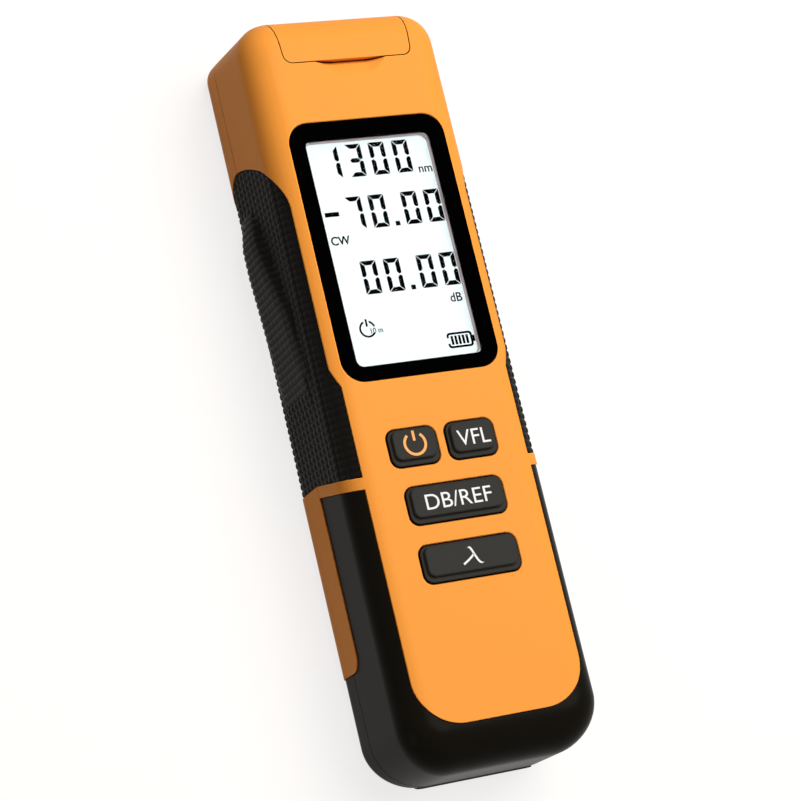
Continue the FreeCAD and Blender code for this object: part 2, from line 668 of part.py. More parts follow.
def scoop_tool():
    """The thumb scoop below the lid: a round-cornered trough, deepest under the lid's edge."""
    y_edge = S.body_length / 2 - S.lid_edge + S.lid_gap

    def outline(z, wide, narrow, reach, corner):
        """The straight edge under the lid, two flanks, and a far side with round corners."""
        near = V(wide / 2, y_edge, z)
        far = V(narrow / 2, y_edge - S.lid_gap - reach, z)
        along = (near - far).normalize()
        turn = along.getAngle(V(-1, 0, 0))
        run = corner / tan(turn / 2)
        before, after = far + along * run, far + V(-run, 0, 0)
        inward = (along + V(-1, 0, 0)).normalize()
        bend = far + inward * (corner / sin(turn / 2) - corner)

        def flip(p):
            return V(-p.x, p.y, p.z)

        edges = [Part.makeLine(near, before), Part.Arc(before, bend, after).toShape(), Part.makeLine(after, flip(after)),
                 Part.Arc(flip(after), flip(bend), flip(before)).toShape(), Part.makeLine(flip(before), flip(near)),
                 Part.makeLine(flip(near), near)]
        wire = Part.Wire(edges)
        wire.translate(V(S.scoop_shift, 0, 0))
        return wire

    rise = 0.4
    spread = rise * (S.scoop_wide - S.scoop_floor) / S.scoop_depth
    upper = outline(S.body_thick + rise, S.scoop_wide + spread, S.scoop_narrow + spread,
                    S.scoop_reach * (1 + rise / S.scoop_depth), 4.5)
    lower = outline(S.body_thick - S.scoop_depth, S.scoop_floor, S.scoop_narrow - 2, 0.3, 0.6)
    return solid("scoop_tool", Part.makeLoft([lower, upper], True, True))


# ---------------------------------------------------------------- screws and bosses
CASE_SPOTS = [(side, y) for y in (f"{HEAD} - case_drop", f"{FOOT} + case_foot") for side in (-1, 1)]
BOARD_SPOTS = [(side, y) for y in (f"{FOOT} + board_boss_low", f"{FOOT} + board_boss_high") for side in (-1, 1)]
CASE_HALF, BOARD_BOSS_HALF = "(body_width / 2 - case_inset)", "(body_width / 2 - board_boss_inset)"
CASE_SEAMS = ["seam_low", "seam_low", "seam_high", "seam_high"]


def pillars(name, spots, half, radius, lows, high):
    """One upright rod at each screw, from its own low height up to a common one."""
    return [rod(f"{name}_{i}", "z", f"{side} * {half}", y, low, radius, f"{high} - ({low})")
            for i, ((side, y), low) in enumerate(zip(spots, lows))]


case_bosses = pillars("case_boss", CASE_SPOTS, CASE_HALF, "boss_radius", CASE_SEAMS, f"({INNER_FACE} + 0.5)")
case_pilots = pillars("case_pilot", CASE_SPOTS, CASE_HALF, "case_screw_radius - 0.02",
                      CASE_SEAMS, "(case_seat + case_screw_length + 1)")
board_bosses = pillars("board_boss", BOARD_SPOTS, BOARD_BOSS_HALF, "boss_radius",
                       ["board_top"] * 4, f"({INNER_FACE} + 0.5)")
board_pilots = pillars("board_pilot", BOARD_SPOTS, BOARD_BOSS_HALF, "board_screw_radius - 0.02",
                       ["board_top"] * 4, "(board_top + board_screw_length)")


def crossed_screw(name, x, y, z, radius, length, head_radius, head_thick, head_gap="0"):
    """A pan-head screw driven upwards, with a crossed slot in its head."""
    shank = rod(name + "_shank", "z", x, y, z, radius, length)
    head = rod(name + "_head", "z", x, y, f"{z} - {head_thick}", head_radius, head_thick)
    slot_a = block(name + "_slot_a", f"{x} - 0.7 * {head_radius}", f"{y} - 0.15 * {head_radius}",
                   f"{z} - {head_thick} - 0.1", f"1.4 * {head_radius}", f"0.3 * {head_radius}",
                   f"0.6 * {head_thick}")
    slot_b = block(name + "_slot_b", f"{x} - 0.15 * {head_radius}", f"{y} - 0.7 * {head_radius}",
                   f"{z} - {head_thick} - 0.1", f"0.3 * {head_radius}", f"1.4 * {head_radius}",
                   f"0.6 * {head_thick}")
    return cut(name, join(name + "_blank", shank, head), slot_a, slot_b)


# ---------------------------------------------------------------- front shell
def front_shell():
    cheeks = [block(f"front_cheek_{name}", x, f"{PLATE_Y} - plate_thick", "seam_low", "cheek_thick",
                    "plate_inset + plate_thick", f"{INNER_FACE} + 0.5 - seam_low")
              for name, x in (("left", "-lid_half_high - lid_gap - 0.25 - cheek_thick"),
                              ("right", "lid_half_high + lid_gap + 0.25"))]
    skin_shell = common("front_skin", cut("hollow_casing", outer, hollow), upper)
    inside = common("front_inside", join("front_inside_parts", *case_bosses, *board_bosses, *cheeks), core)
    blank = join("front_shell_blank", skin_shell, inside)
    bumper_recess = cut("front_bumper_recess", front_region, core)
    grip_recess = cut("grip_recesses", join("grip_rooms", grip_room, grip_room_left), core)
    pin_hole = rod("pin_hole", "x", "-pin_half", HINGE_Y, "seam_low", "pin_radius", "2 * pin_half")
    return cut("front_shell", blank, bumper_recess, grip_recess, lens_pocket, window_hole, frame_room, *key_holes,
               lid_room, scoop_tool(), seam_line, *case_pilots, *board_pilots, pin_hole)


front = piece(front_shell(), "front_shell")


# ---------------------------------------------------------------- rear shell
BAY_HALF = "(cell_pitch + cell_radius + bay_side)"
BAY_Y = f"({FOOT} + bay_foot)"
BAY_LENGTH = "(cell_length + 2 * contact_room)"
TAB_Y = [f"({FOOT} + cover_top - 12 - {i} * tab_pitch)" for i in range(3)]


def rear_shell():
    skin_shell = cut("rear_skin", doc.getObject("hollow_casing"), upper)
    tub = block("bay_block", f"-{BAY_HALF} - bay_wall", f"{BAY_Y} - bay_wall", "0.5",
                f"2 * ({BAY_HALF} + bay_wall)", f"{BAY_LENGTH} + 2 * bay_wall", "bay_top + bay_wall - 0.5")
    posts = pillars("case_post", CASE_SPOTS, CASE_HALF, "post_radius", ["0.5"] * 4, "seam_low")
    high_posts = pillars("case_post_high", CASE_SPOTS[2:], CASE_HALF, "post_radius",
                         ["seam_low - 1"] * 2, "seam_high")
    cheeks = [block(f"rear_cheek_{name}", x, f"{HEAD} - 8", "0.5", "cheek_thick", "8", "seam_low - 0.5")
              for name, x in (("left", "-lid_half_high - lid_gap - 0.25 - cheek_thick"),
                              ("right", "lid_half_high + lid_gap + 0.25"))]
    rails = [block(f"plate_rail_{name}", x, f"{PLATE_Y} - plate_thick - 1.5", "0.5", "3", "plate_thick + 3",
                   "seam_low - 0.5") for name, x in (("left", "-lid_half_high - lid_gap - 1.5"),
                                                     ("right", "lid_half_high + lid_gap - 1.5"))]
    inside = common("rear_inside", join("rear_inside_parts", tub, *posts, *high_posts, *cheeks, *rails), core)
    blank = join("rear_shell_blank", skin_shell, inside)

    bay = block("bay_room", f"-{BAY_HALF}", BAY_Y, f"-{FAR}", f"2 * {BAY_HALF}", BAY_LENGTH, f"bay_top + {FAR}")
    channel_half = "(cover_width / 2 + fit_gap)"
    channel = block("cover_channel", f"-{channel_half}", f"{FOOT} - {FAR}", f"-{FAR}",
                    f"2 * {channel_half}", f"cover_top + fit_gap + {FAR}", f"{FAR} + cover_thick + fit_gap")
    groove = block("tab_groove", f"-{channel_half} - tab_reach", f"{TAB_Y[-1]} - tab_length / 2 - cover_travel - fit_gap",
                   "cover_thick - tab_thick - fit_gap", f"2 * ({channel_half} + tab_reach)",
                   "2 * tab_pitch + tab_length + cover_travel + 2 * fit_gap", "tab_thick + 2 * fit_gap")
    notches = [block(f"tab_notch_{i}", f"-{channel_half} - tab_reach", f"{y} - tab_length / 2 - cover_travel - fit_gap",
                     f"-{FAR}", f"2 * ({channel_half} + tab_reach)", "tab_length + 2 * fit_gap", f"{FAR} + cover_thick")
               for i, y in enumerate(TAB_Y)]
    lip_block = block("lip_block", "-lip_width / 2 - fit_gap", f"{FOOT} - {FAR}", f"-{FAR}",
                      "lip_width + 2 * fit_gap", f"{FAR} + foot_corner", f"{FAR} + lip_height + fit_gap")
    lip_room = cut("lip_room", lip_block, cover_room_form)
    counterbores = pillars("counterbore", CASE_SPOTS, CASE_HALF, "case_head_radius + fit_gap",
                           [f"-{FAR}"] * 4, "case_seat")
    through = pillars("case_through", CASE_SPOTS, CASE_HALF, "case_screw_radius + fit_gap",
                      ["1"] * 4, "(seam_high + 1)")
    sill_room = block("sill_room", "-lid_half_high - lid_gap", f"{HINGE_Y} - barrel_radius - barrel_clear",
                      "sill_height", "2 * (lid_half_high + lid_gap)", f"2 * barrel_radius + {FAR}", "body_thick")
    plate_slot = block("plate_slot", "-lid_half_high - lid_gap - 0.05", f"{PLATE_Y} - plate_thick - 0.05",
                       "wall", "2 * (lid_half_high + lid_gap + 0.05)", "plate_thick + 0.1", "body_thick")
    pin_hole = doc.getObject("pin_hole")
    bumper_recess = cut("rear_bumper_recess", rear_region, core)
    return cut("rear_shell", blank, bumper_recess, doc.getObject("grip_recesses"), bay, channel, groove, *notches,
               lip_room, *counterbores, *through, sill_room, plate_slot, pin_hole)


rear = piece(rear_shell(), "rear_shell")

# ---------------------------------------------------------------- rubber
front_rubber = common("front_rubber", bumper_form, bumper_region("front_rubber_region", "skin_gap", upper_open))
piece(cut("front_bumper", front_rubber, core), "front_bumper")

rear_rubber = common("rear_rubber", bumper_form, rear_bumper_region("rear_rubber_region", "skin_gap"))
cover_slot = join("cover_slot", doc.getObject("cover_channel"), doc.getObject("lip_room"))
piece(cut("rear_bumper", rear_rubber, core, cover_slot), "rear_bumper")

grip_flat = cut("grip_flat", common("grip_blank", grip_form, grip_outline), core)
palm_lobe = cut("palm_lobe", common("grip_lobe_trimmed", grip_lobe(), grip_outline), core)
right_grip = piece(join("right_grip", grip_flat, palm_lobe), "right_grip")
piece(mirror("left_grip", right_grip), "left_grip")

# ---------------------------------------------------------------- lid over the ports
lid_leaf = common("lid_leaf", cut("lid_wall", outer, lid_inner), lid_shape)
lid_upper = common("lid_upper", lid_leaf,
                   block("lid_above", "-body_width", f"{HEAD} - lid_edge - 2", "seam_low",
                         "2 * body_width", f"lid_edge + {FAR}", "body_thick"))
BARREL_HALF = "(lid_half_high - 0.2)"
barrel = rod("lid_barrel", "x", f"-{BARREL_HALF}", HINGE_Y, "seam_low", "barrel_radius", f"2 * {BARREL_HALF}")
lid_bore = rod("lid_bore", "x", "-body_width / 2", HINGE_Y, "seam_low", "pin_radius + pin_clear", "body_width")
lid_solid = join("lid_solid", lid_upper, common("barrel_trimmed", barrel, outer))
piece(cut("port_lid", lid_solid, lid_bore), "port_lid")
piece(rod("lid_pin", "x", "-pin_half", HINGE_Y, "seam_low", "pin_radius", "2 * pin_half"), "lid_pin")

# ---------------------------------------------------------------- display
lens = plate("display_lens", LENS_WIDTH, LENS_LENGTH, "lens_corner", "lens_thick",
             y=LENS_Y, z="body_thick - lens_sink - lens_thick")
dress(lens, "Chamfer", "lens_sink", level(S.lens_thick))
piece(lens, "display_lens")

gasket = plate("lens_gasket", LENS_WIDTH, LENS_LENGTH, "lens_corner", "gasket_thick",
               y=LENS_Y, z="body_thick - lens_sink - lens_thick - gasket_thick")
add_pocket(gasket, "gasket_window", "window_width", "window_length", "window_corner", "gasket_thick",
           y="-window_shift", z="gasket_thick")
piece(gasket, "lens_gasket")

GLASS_TOP = f"({INNER_FACE} - 0.05)"
glass = plate("lcd_panel", GLASS_WIDTH, GLASS_LENGTH, "window_corner", "glass_thick",
              y=WINDOW_Y, z=f"{GLASS_TOP} - glass_thick")
piece(glass, "lcd_panel")

LIGHT_TOP = f"({GLASS_TOP} - glass_thick - 0.05)"
light = plate("backlight", f"{GLASS_WIDTH} - 0.2", f"{GLASS_LENGTH} - 0.2", "window_corner", "light_thick",
              y=WINDOW_Y, z=f"{LIGHT_TOP} - light_thick")
piece(light, "backlight")

FRAME_DEPTH = "(glass_thick + light_thick + 0.05 + 1)"
frame = plate("lcd_frame", FRAME_WIDTH, FRAME_LENGTH, "window_corner + frame_wall", FRAME_DEPTH,
              y=WINDOW_Y, z=f"{GLASS_TOP} - {FRAME_DEPTH}")
add_pocket(frame, "frame_seat", f"{GLASS_WIDTH} + 2 * fit_gap", f"{GLASS_LENGTH} + 2 * fit_gap", "window_corner",
           f"{FRAME_DEPTH} - 1", z=FRAME_DEPTH)
add_pocket(frame, "frame_back", f"{GLASS_WIDTH} - 6", f"{GLASS_LENGTH} - 6", "window_corner", FRAME_DEPTH,
           z=FRAME_DEPTH)
LEG_LENGTH = f"({GLASS_TOP} - {FRAME_DEPTH} - board_top)"
for i, (side, end) in enumerate([(-1, -1), (1, -1), (-1, 0.3), (1, 0.3)]):
    add_step(frame, f"frame_leg_{i}", "3", "3", "0.3", f"{LEG_LENGTH} + 0.5",
             x=f"{side} * ({GLASS_WIDTH} / 2 - 0.5)", y=f"{end} * ({GLASS_LENGTH} / 2 - 4)", z=f"-{LEG_LENGTH}")
piece(frame, "lcd_frame")


def lcd_segments():
    """Dark segments on the glass: three rows of plain numerals, a battery and a timer ring."""
    base = S.body_thick - S.wall - 0.05
    thick = S.segment_thick
    middle = S.body_length / 2 - S.lens_drop - S.window_length / 2 - S.lens_end - S.window_shift
    wide, tall, stroke, gap = S.digit_width, S.digit_height, S.digit_stroke, 0.12
    solids = []

    def area(points):
        outline = [V(x, middle + y, base) for x, y in points]
        face = Part.Face(Part.makePolygon(outline + outline[:1]))
        solids.append(face.extrude(V(0, 0, thick)))

    def bar(x0, y0, x1, y1):
        area([(x0, y0), (x1, y0), (x1, y1), (x0, y1)])

    def digit(x, y, lit):
        half = stroke / 2
        high, mid = y + tall, y + tall / 2
        right = x + wide
        shapes = {
            "a": [(x + gap, high), (right - gap, high), (right - stroke - gap, high - stroke),
                  (x + stroke + gap, high - stroke)],
            "d": [(x + gap, y), (x + stroke + gap, y + stroke), (right - stroke - gap, y + stroke), (right - gap, y)],
            "g": [(x + half + gap, mid), (x + stroke + gap, mid + half), (right - stroke - gap, mid + half),
                  (right - half - gap, mid), (right - stroke - gap, mid - half), (x + stroke + gap, mid - half)],
            "f": [(x, high - gap), (x + stroke, high - stroke - gap), (x + stroke, mid + half + gap),
                  (x + half, mid + gap), (x, mid + gap + half / 2)],
            "e": [(x, y + gap), (x, mid - gap - half / 2), (x + half, mid - gap), (x + stroke, mid - half - gap),
                  (x + stroke, y + stroke + gap)],
            "b": [(right, high - gap), (right, mid + gap + half / 2), (right - half, mid + gap),
                  (right - stroke, mid + half + gap), (right - stroke, high - stroke - gap)],
            "c": [(right, y + gap), (right - stroke, y + stroke + gap), (right - stroke, mid - half - gap),
                  (right - half, mid - gap), (right, mid - gap - half / 2)],
        }
        for name in lit:
            area(shapes[name])

    def rounded(x0, y0, x1, y1, radius):
        box = Part.makeBox(x1 - x0, y1 - y0, thick, V(x0, middle + y0, base))
        return box.makeFillet(radius, [e for e in box.Edges if abs(e.Vertexes[0].Z - e.Vertexes[-1].Z) > thick / 2])

    zero, pitch, point_room = "abcdef", wide + 1.82, 2.4
    last = S.window_width / 2 - 0.3 - wide
    upper = S.window_length / 2 - 0.85 - tall
    middle_row, lower_row = upper - 12.5, upper - 27.85
    # upper row, one cell further left and a little wider spaced
    for lit, cell in (("bc", 3), ("abgcd", 2), (zero, 1), (zero, 0)):
        digit(last - 4.8 - cell * (pitch + 0.13), upper, lit)
    # middle and lower rows, with a point in the middle
    for row, first in ((middle_row, "abc"), (lower_row, zero)):
        for lit, cell, room in ((first, 3, point_room), (zero, 2, point_room), (zero, 1, 0), (zero, 0, 0)):
            digit(last - cell * pitch - room, row, lit)
        bar(last - pitch - 2.73, row, last - pitch - 1.63, row + 1.1)
    bar(-13.65, middle_row + 3.6, -10.2, middle_row + 4.65)
    # battery, open at its flat end, with its five bars
    left, right, low = 8.4, 14.6, 2.3 - S.window_length / 2
    case = rounded(left, low, right, low + 3.65, 0.8).cut(rounded(left + 0.5, low + 0.5, right - 0.5, low + 3.15, 0.35))
    solids.append(case.cut(Part.makeBox(1.0, 1.3, thick, V(left - 0.4, middle + low + 1.15, base))))
    bar(right, low + 1.1, right + 0.55, low + 2.55)
    for i in range(5):
        bar(left + 0.9 + 0.92 * i, low + 0.78, left + 1.48 + 0.92 * i, low + 2.87)
    # timer ring, open at the top and where its minutes stand
    across, up = -9.95, low + 6.85
    ring_at = V(across, middle + up, base)
    ring = Part.makeCylinder(2.0, thick, ring_at).cut(Part.makeCylinder(1.55, thick, ring_at))
    ring = ring.cut(Part.makeBox(1.3, 2, thick, ring_at + V(-0.65, 0.8, 0)))
    solids.append(ring.cut(Part.makeBox(1.6, 1.5, thick, ring_at + V(0.9, -1.05, 0))))
    bar(across - 0.22, up + 0.55, across + 0.22, up + 2.35)
    return solid("lcd_segments", Part.makeCompound(solids))


piece(lcd_segments(), "lcd_segments")

# ---------------------------------------------------------------- keys, plungers and switches
FLANGE_LOW = f"({INNER_FACE} - 0.05 - key_flange)"
SWITCH_TOP = "(board_top + switch_height)"
PLUNGER_LOW = "(board_top + switch_height - plunger_length / 2)"
PLUNGER_TOP = f"({PLUNGER_LOW} + plunger_length)"


def key(label, width, x, row):
    """A rubber key: rim behind the face, skirt through the hole, raised top, stem below."""
    y = row_y(row)
    body = plate(f"{label}_key", f"{width} + 2 * key_flange - 2 * key_gap", "key_tall + 2 * key_flange - 2 * key_gap",
                 "key_corner", "key_flange", x, y, FLANGE_LOW)
    skirt_height = "(0.05 + wall + skirt_rise)"
    add_step(body, f"{label}_skirt", f"{width} - 2 * key_gap", "key_tall - 2 * key_gap", "key_corner - key_gap",
             skirt_height, z="key_flange")
    skirt_top = S.key_flange + 0.05 + S.wall + S.skirt_rise
    dress(body, "Fillet", "skirt_rise * 0.6", level(skirt_top))
    add_step(body, f"{label}_top", f"{width} - 2 * key_gap - 2 * cap_side",
             "key_tall - 2 * key_gap - cap_foot - cap_head", "key_corner - key_gap - cap_head",
             f"{skirt_height} + cap_rise - skirt_rise", y="(cap_foot - cap_head) / 2", z="key_flange")
    dress(body, "Fillet", "skirt_rise", level(S.key_flange + 0.05 + S.wall + S.cap_rise))
    add_step(body, f"{label}_stem", "stem_width", "stem_width", "0.5", f"{FLANGE_LOW} - {PLUNGER_TOP} + 0.2",
             z=f"{PLUNGER_TOP} - {FLANGE_LOW}")
    piece(body, f"{label}_key")
    piece(rod(f"{label}_plunger", "z", x, y, PLUNGER_LOW, "plunger_radius", "plunger_length"), f"{label}_plunger")


def switch(label, x, row):
    """The fixed body of a push switch, open at the top for its plunger."""
    y = row_y(row)
    base = block(f"{label}_switch_block", f"{x} - switch_width / 2", f"{y} - switch_width / 2", "board_top",
                 "switch_width", "switch_width", "switch_height")
    hole_low = f"({PLUNGER_LOW} - key_travel - slide_gap)"
    hole = rod(f"{label}_switch_hole", "z", x, y, hole_low, "plunger_radius + slide_gap", "switch_height")
    return cut(f"{label}_switch", base, hole)


for label, width, x, row in KEYS:
    key(label, width, x, row)
piece(group("tact_switches", *(switch(label, x, row) for label, width, x, row in KEYS)), "tact_switches")

# ---------------------------------------------------------------- board
BOARD_LOW = "(board_top - board_thick)"
board_blank = block("board_blank", "-body_width / 2 + board_inset", f"{FOOT} + board_foot", BOARD_LOW,
                    "body_width - 2 * board_inset", "body_length - board_foot - board_drop", "board_thick")
board_holes = pillars("board_hole", BOARD_SPOTS, BOARD_BOSS_HALF, "board_screw_radius + fit_gap",
                      [f"{BOARD_LOW} - 1"] * 4, "(board_top + 1)")
board_notches = pillars("board_notch", CASE_SPOTS[2:], CASE_HALF, "boss_radius + 0.5",
                        [f"{BOARD_LOW} - 1"] * 2, "(board_top + 1)")
piece(cut("main_board", board_blank, *board_holes, *board_notches), "main_board")
piece(block("controller_chip", "-controller_width / 2", f"{FOOT} + board_foot + chip_margin", "board_top",
            "controller_width", "controller_width", "chip_thick"), "controller_chip")
piece(block("amplifier_chip", "-port_spread / 2 - amplifier_width / 2",
            f"{HEAD} - board_drop - 2 * chip_margin - amplifier_width", "board_top",
            "amplifier_width", "amplifier_width", "chip_thick"), "amplifier_chip")
piece(group("board_screws", *(
    crossed_screw(f"board_screw_{i}", f"({side} * {BOARD_BOSS_HALF})", f"({y})", BOARD_LOW,
                  "board_screw_radius - 0.02", "board_thick + board_screw_length - 1", "1.9", "1.2")
    for i, (side, y) in enumerate(BOARD_SPOTS))), "board_screws")

# ---------------------------------------------------------------- ports
METER_X, LASER_X = "(-port_spread / 2)", "(port_spread / 2)"
PLATE_BACK = f"({PLATE_Y} - plate_thick)"
FLANGE_BACK = f"({PLATE_BACK} - flange_thick)"


def port(label, x, radius, reach, bore):
    """A turned barrel with a flange behind the plate and a straight bore."""
    flange = rod(f"{label}_flange", "y", x, FLANGE_BACK, "port_height", "flange_radius", "flange_thick")
    tube = rod(f"{label}_barrel", "y", x, PLATE_BACK, "port_height", radius, f"plate_thick + {reach}")
    hole = rod(f"{label}_bore", "y", x, f"{FLANGE_BACK} - 1", "port_height", bore,
               f"flange_thick + plate_thick + {reach} + 2")
    return join(f"{label}_blank", flange, tube), hole


plate_blank = block("port_plate_blank", "-lid_half_high - lid_gap", PLATE_BACK, "wall + 0.05",
                    "2 * (lid_half_high + lid_gap)", "plate_thick", "body_thick - 2 * wall - 0.1")
plate_holes = [rod(f"plate_hole_{i}", "y", x, f"{PLATE_BACK} - 1", "port_height", f"{radius} + 0.05", "plate_thick + 2")
               for i, (x, radius) in enumerate(((METER_X, "meter_radius"), (LASER_X, "laser_radius")))]
piece(cut("port_plate", plate_blank, *plate_holes), "port_plate")

meter_blank, meter_bore = port("meter", METER_X, "meter_radius", "meter_reach", "ferrule_radius")
can_room = rod("can_room", "y", METER_X, f"{FLANGE_BACK} - 1", "port_height", "can_radius + 0.05", "1 + can_seat")
piece(cut("meter_port", meter_blank, meter_bore, can_room), "meter_port")
piece(rod("detector", "y", METER_X, f"{FLANGE_BACK} + can_seat - can_length", "port_height", "can_radius", "can_length"),
      "detector")

laser_blank, laser_bore = port("laser", LASER_X, "laser_radius", "laser_reach", "sleeve_radius + 0.01")
piece(cut("laser_port", laser_blank, laser_bore), "laser_port")
sleeve_tube = rod("sleeve_tube", "y", LASER_X, FLANGE_BACK, "port_height", "sleeve_radius",
                  "flange_thick + plate_thick + laser_reach - 0.3")
sleeve_bore = rod("sleeve_bore", "y", LASER_X, f"{FLANGE_BACK} - 1", "port_height", "ferrule_radius",
                  "flange_thick + plate_thick + laser_reach + 2")
piece(cut("laser_sleeve", sleeve_tube, sleeve_bore), "laser_sleeve")
piece(rod("laser_module", "y", LASER_X, f"{FLANGE_BACK} - laser_tube_length", "port_height", "laser_tube_radius",
          "laser_tube_length"), "laser_module")


def port_nut(label, x, radius):
    """A thin hexagon nut on a port's barrel, against the plate."""
    hexagon = doc.addObject("Part::Prism", f"{label}_nut_blank")
    hexagon.Polygon = 6
    hexagon.Placement = FreeCAD.Placement(V(), TURNS["y"])
    bind(hexagon, Circumradius="nut_flats / 1.7320508", Height="nut_thick")
    place(hexagon, x, PLATE_Y, "port_height")
    hole = rod(f"{label}_nut_hole", "y", x, f"{PLATE_Y} - 1", "port_height", radius, "nut_thick + 2")
    return cut(f"{label}_nut", hexagon, hole)


piece(group("port_nuts", port_nut("meter", METER_X, "meter_radius"), port_nut("laser", LASER_X, "laser_radius")),
      "port_nuts")

# ---------------------------------------------------------------- batteries and contacts
CELL_LOW = f"({BAY_Y} + contact_room)"
BUTTON_LENGTH = "cell_button"
plates, springs = [], []
for i in range(3):
    x = f"({i - 1} * cell_pitch)"
    flipped = i == 1
    can_low = CELL_LOW if not flipped else f"({CELL_LOW} + cell_button)"
    button_low = f"({CELL_LOW} + cell_length - cell_button - 1)" if not flipped else CELL_LOW
    can = rod(f"cell_{i}_can", "y", x, can_low, "cell_height", "cell_radius", "cell_length - cell_button")
    button = rod(f"cell_{i}_button", "y", x, button_low, "cell_height", "1.9", "cell_button + 1")
    piece(join(f"battery_{i + 1}", can, button), f"battery_{i + 1}")

    far_end = f"{BAY_LENGTH} - contact_thick"
    plate_end, spring_end = ("0", far_end) if flipped else (far_end, "0")
    for kind, end, store in (("plate", plate_end, plates), ("spring", spring_end, springs)):
        backing = block(f"{kind}_{i}_backing", f"{x} - contact_width / 2", f"{BAY_Y} + {end}",
                        "cell_height - contact_width / 2", "contact_width", "contact_thick", "contact_width")
        depth = "(contact_room - contact_thick)"
        inward = 1 if end == "0" else -1
        nose_low = f"{BAY_Y} + contact_thick" if inward == 1 else f"{BAY_Y} + {BAY_LENGTH} - contact_thick - {depth}"
        radius = "1.6" if kind == "plate" else "2.6"
        nose = rod(f"{kind}_{i}_nose", "y", x, nose_low, "cell_height", radius, depth)
        bore = rod(f"{kind}_{i}_nose_bore", "y", x, f"{nose_low} - 0.2", "cell_height", f"{radius} - 0.5",
                   f"{depth} + 0.4")
        ring = cut(f"{kind}_{i}_ring", nose, bore)
        store.append(join(f"contact_{kind}_{i}", backing, ring))
piece(group("contact_plates", *plates), "contact_plates")
piece(group("contact_springs", *springs), "contact_springs")

# ---------------------------------------------------------------- battery cover
cover_box = block("cover_box", "-cover_width / 2", f"{FOOT} - 1", "-1", "cover_width", "cover_top + 1",
                  "cover_thick + 1")
tabs = [block(f"cover_tab_{i}", "-cover_width / 2 - tab_reach", f"{y} - tab_length / 2", "cover_thick - tab_thick",
              "cover_width + 2 * tab_reach", "tab_length", "tab_thick") for i, y in enumerate(TAB_Y)]
cover_panel = common("cover_panel", join("cover_flat", cover_box, *tabs), outer)
lip_box = block("lip_box", "-lip_width / 2", f"{FOOT} - 1", "-1", "lip_width", "wall + 4", "lip_height + 1")
cover_lip = common("cover_lip", cut("lip_wall", outer, cover_inner), lip_box)
grooves = [block(f"thumb_groove_{i}", "-thumb_width / 2", f"{FOOT} + thumb_foot + {i} * thumb_pitch", "-1",
                 "thumb_width", "thumb_pitch / 2", "1 + thumb_depth") for i in range(5)]
piece(cut("battery_cover", join("cover_solid", cover_panel, cover_lip), *grooves), "battery_cover")

# ---------------------------------------------------------------- case screws
piece(group("case_screws", *(
    crossed_screw(f"case_screw_{i}", f"({side} * {CASE_HALF})", f"({y})", "case_seat", "case_screw_radius - 0.02",
                  "case_screw_length", "case_head_radius", "case_head_thick")
    for i, (side, y) in enumerate(CASE_SPOTS))), "case_screws")

# ---------------------------------------------------------------- check and write
doc.recompute()
for item in doc.Objects:
    if "Invalid" in item.State or "Error" in item.State:
        raise RuntimeError(f"{item.Name} failed: {item.State}")
os.makedirs("parts", exist_ok=True)
for item in pieces:
    shape = item.Shape
    if shape.isNull() or not shape.isValid() or not shape.Solids:
        raise RuntimeError(f"{item.Label} has no valid solid")
    print(f"{item.Label:20s} solids {len(shape.Solids):3d}  volume {shape.Volume:10.1f}")
    shape.exportStep(f"parts/{item.Label}.step")
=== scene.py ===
"""A handheld optical power meter: its looks, piece by piece, in the order in which it is put together."""
import bpy
from math import cos, radians
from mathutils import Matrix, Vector


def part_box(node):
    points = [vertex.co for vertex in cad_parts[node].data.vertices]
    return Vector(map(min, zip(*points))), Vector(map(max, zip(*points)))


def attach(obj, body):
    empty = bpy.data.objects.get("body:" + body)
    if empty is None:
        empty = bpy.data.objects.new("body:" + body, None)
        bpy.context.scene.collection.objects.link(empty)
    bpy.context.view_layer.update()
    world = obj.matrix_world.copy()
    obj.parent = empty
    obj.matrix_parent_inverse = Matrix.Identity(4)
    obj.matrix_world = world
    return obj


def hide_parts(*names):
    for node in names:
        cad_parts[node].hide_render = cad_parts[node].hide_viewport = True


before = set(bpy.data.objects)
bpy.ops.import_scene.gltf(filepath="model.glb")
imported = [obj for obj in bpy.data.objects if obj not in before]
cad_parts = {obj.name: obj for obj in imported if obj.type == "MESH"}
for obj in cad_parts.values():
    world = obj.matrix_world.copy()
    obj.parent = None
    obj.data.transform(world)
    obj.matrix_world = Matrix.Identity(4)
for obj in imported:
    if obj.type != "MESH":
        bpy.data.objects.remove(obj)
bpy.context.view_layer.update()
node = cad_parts
bpy.ops.object.select_all(action="DESELECT")

# ---------------------------------------------------------------- casing shells and lid
# Two halves and a flip lid, injection moulded in bright orange ABS with a satin, finely spark-eroded
# surface. Four screws from the back hold the halves together, and a steel pin carries the lid.


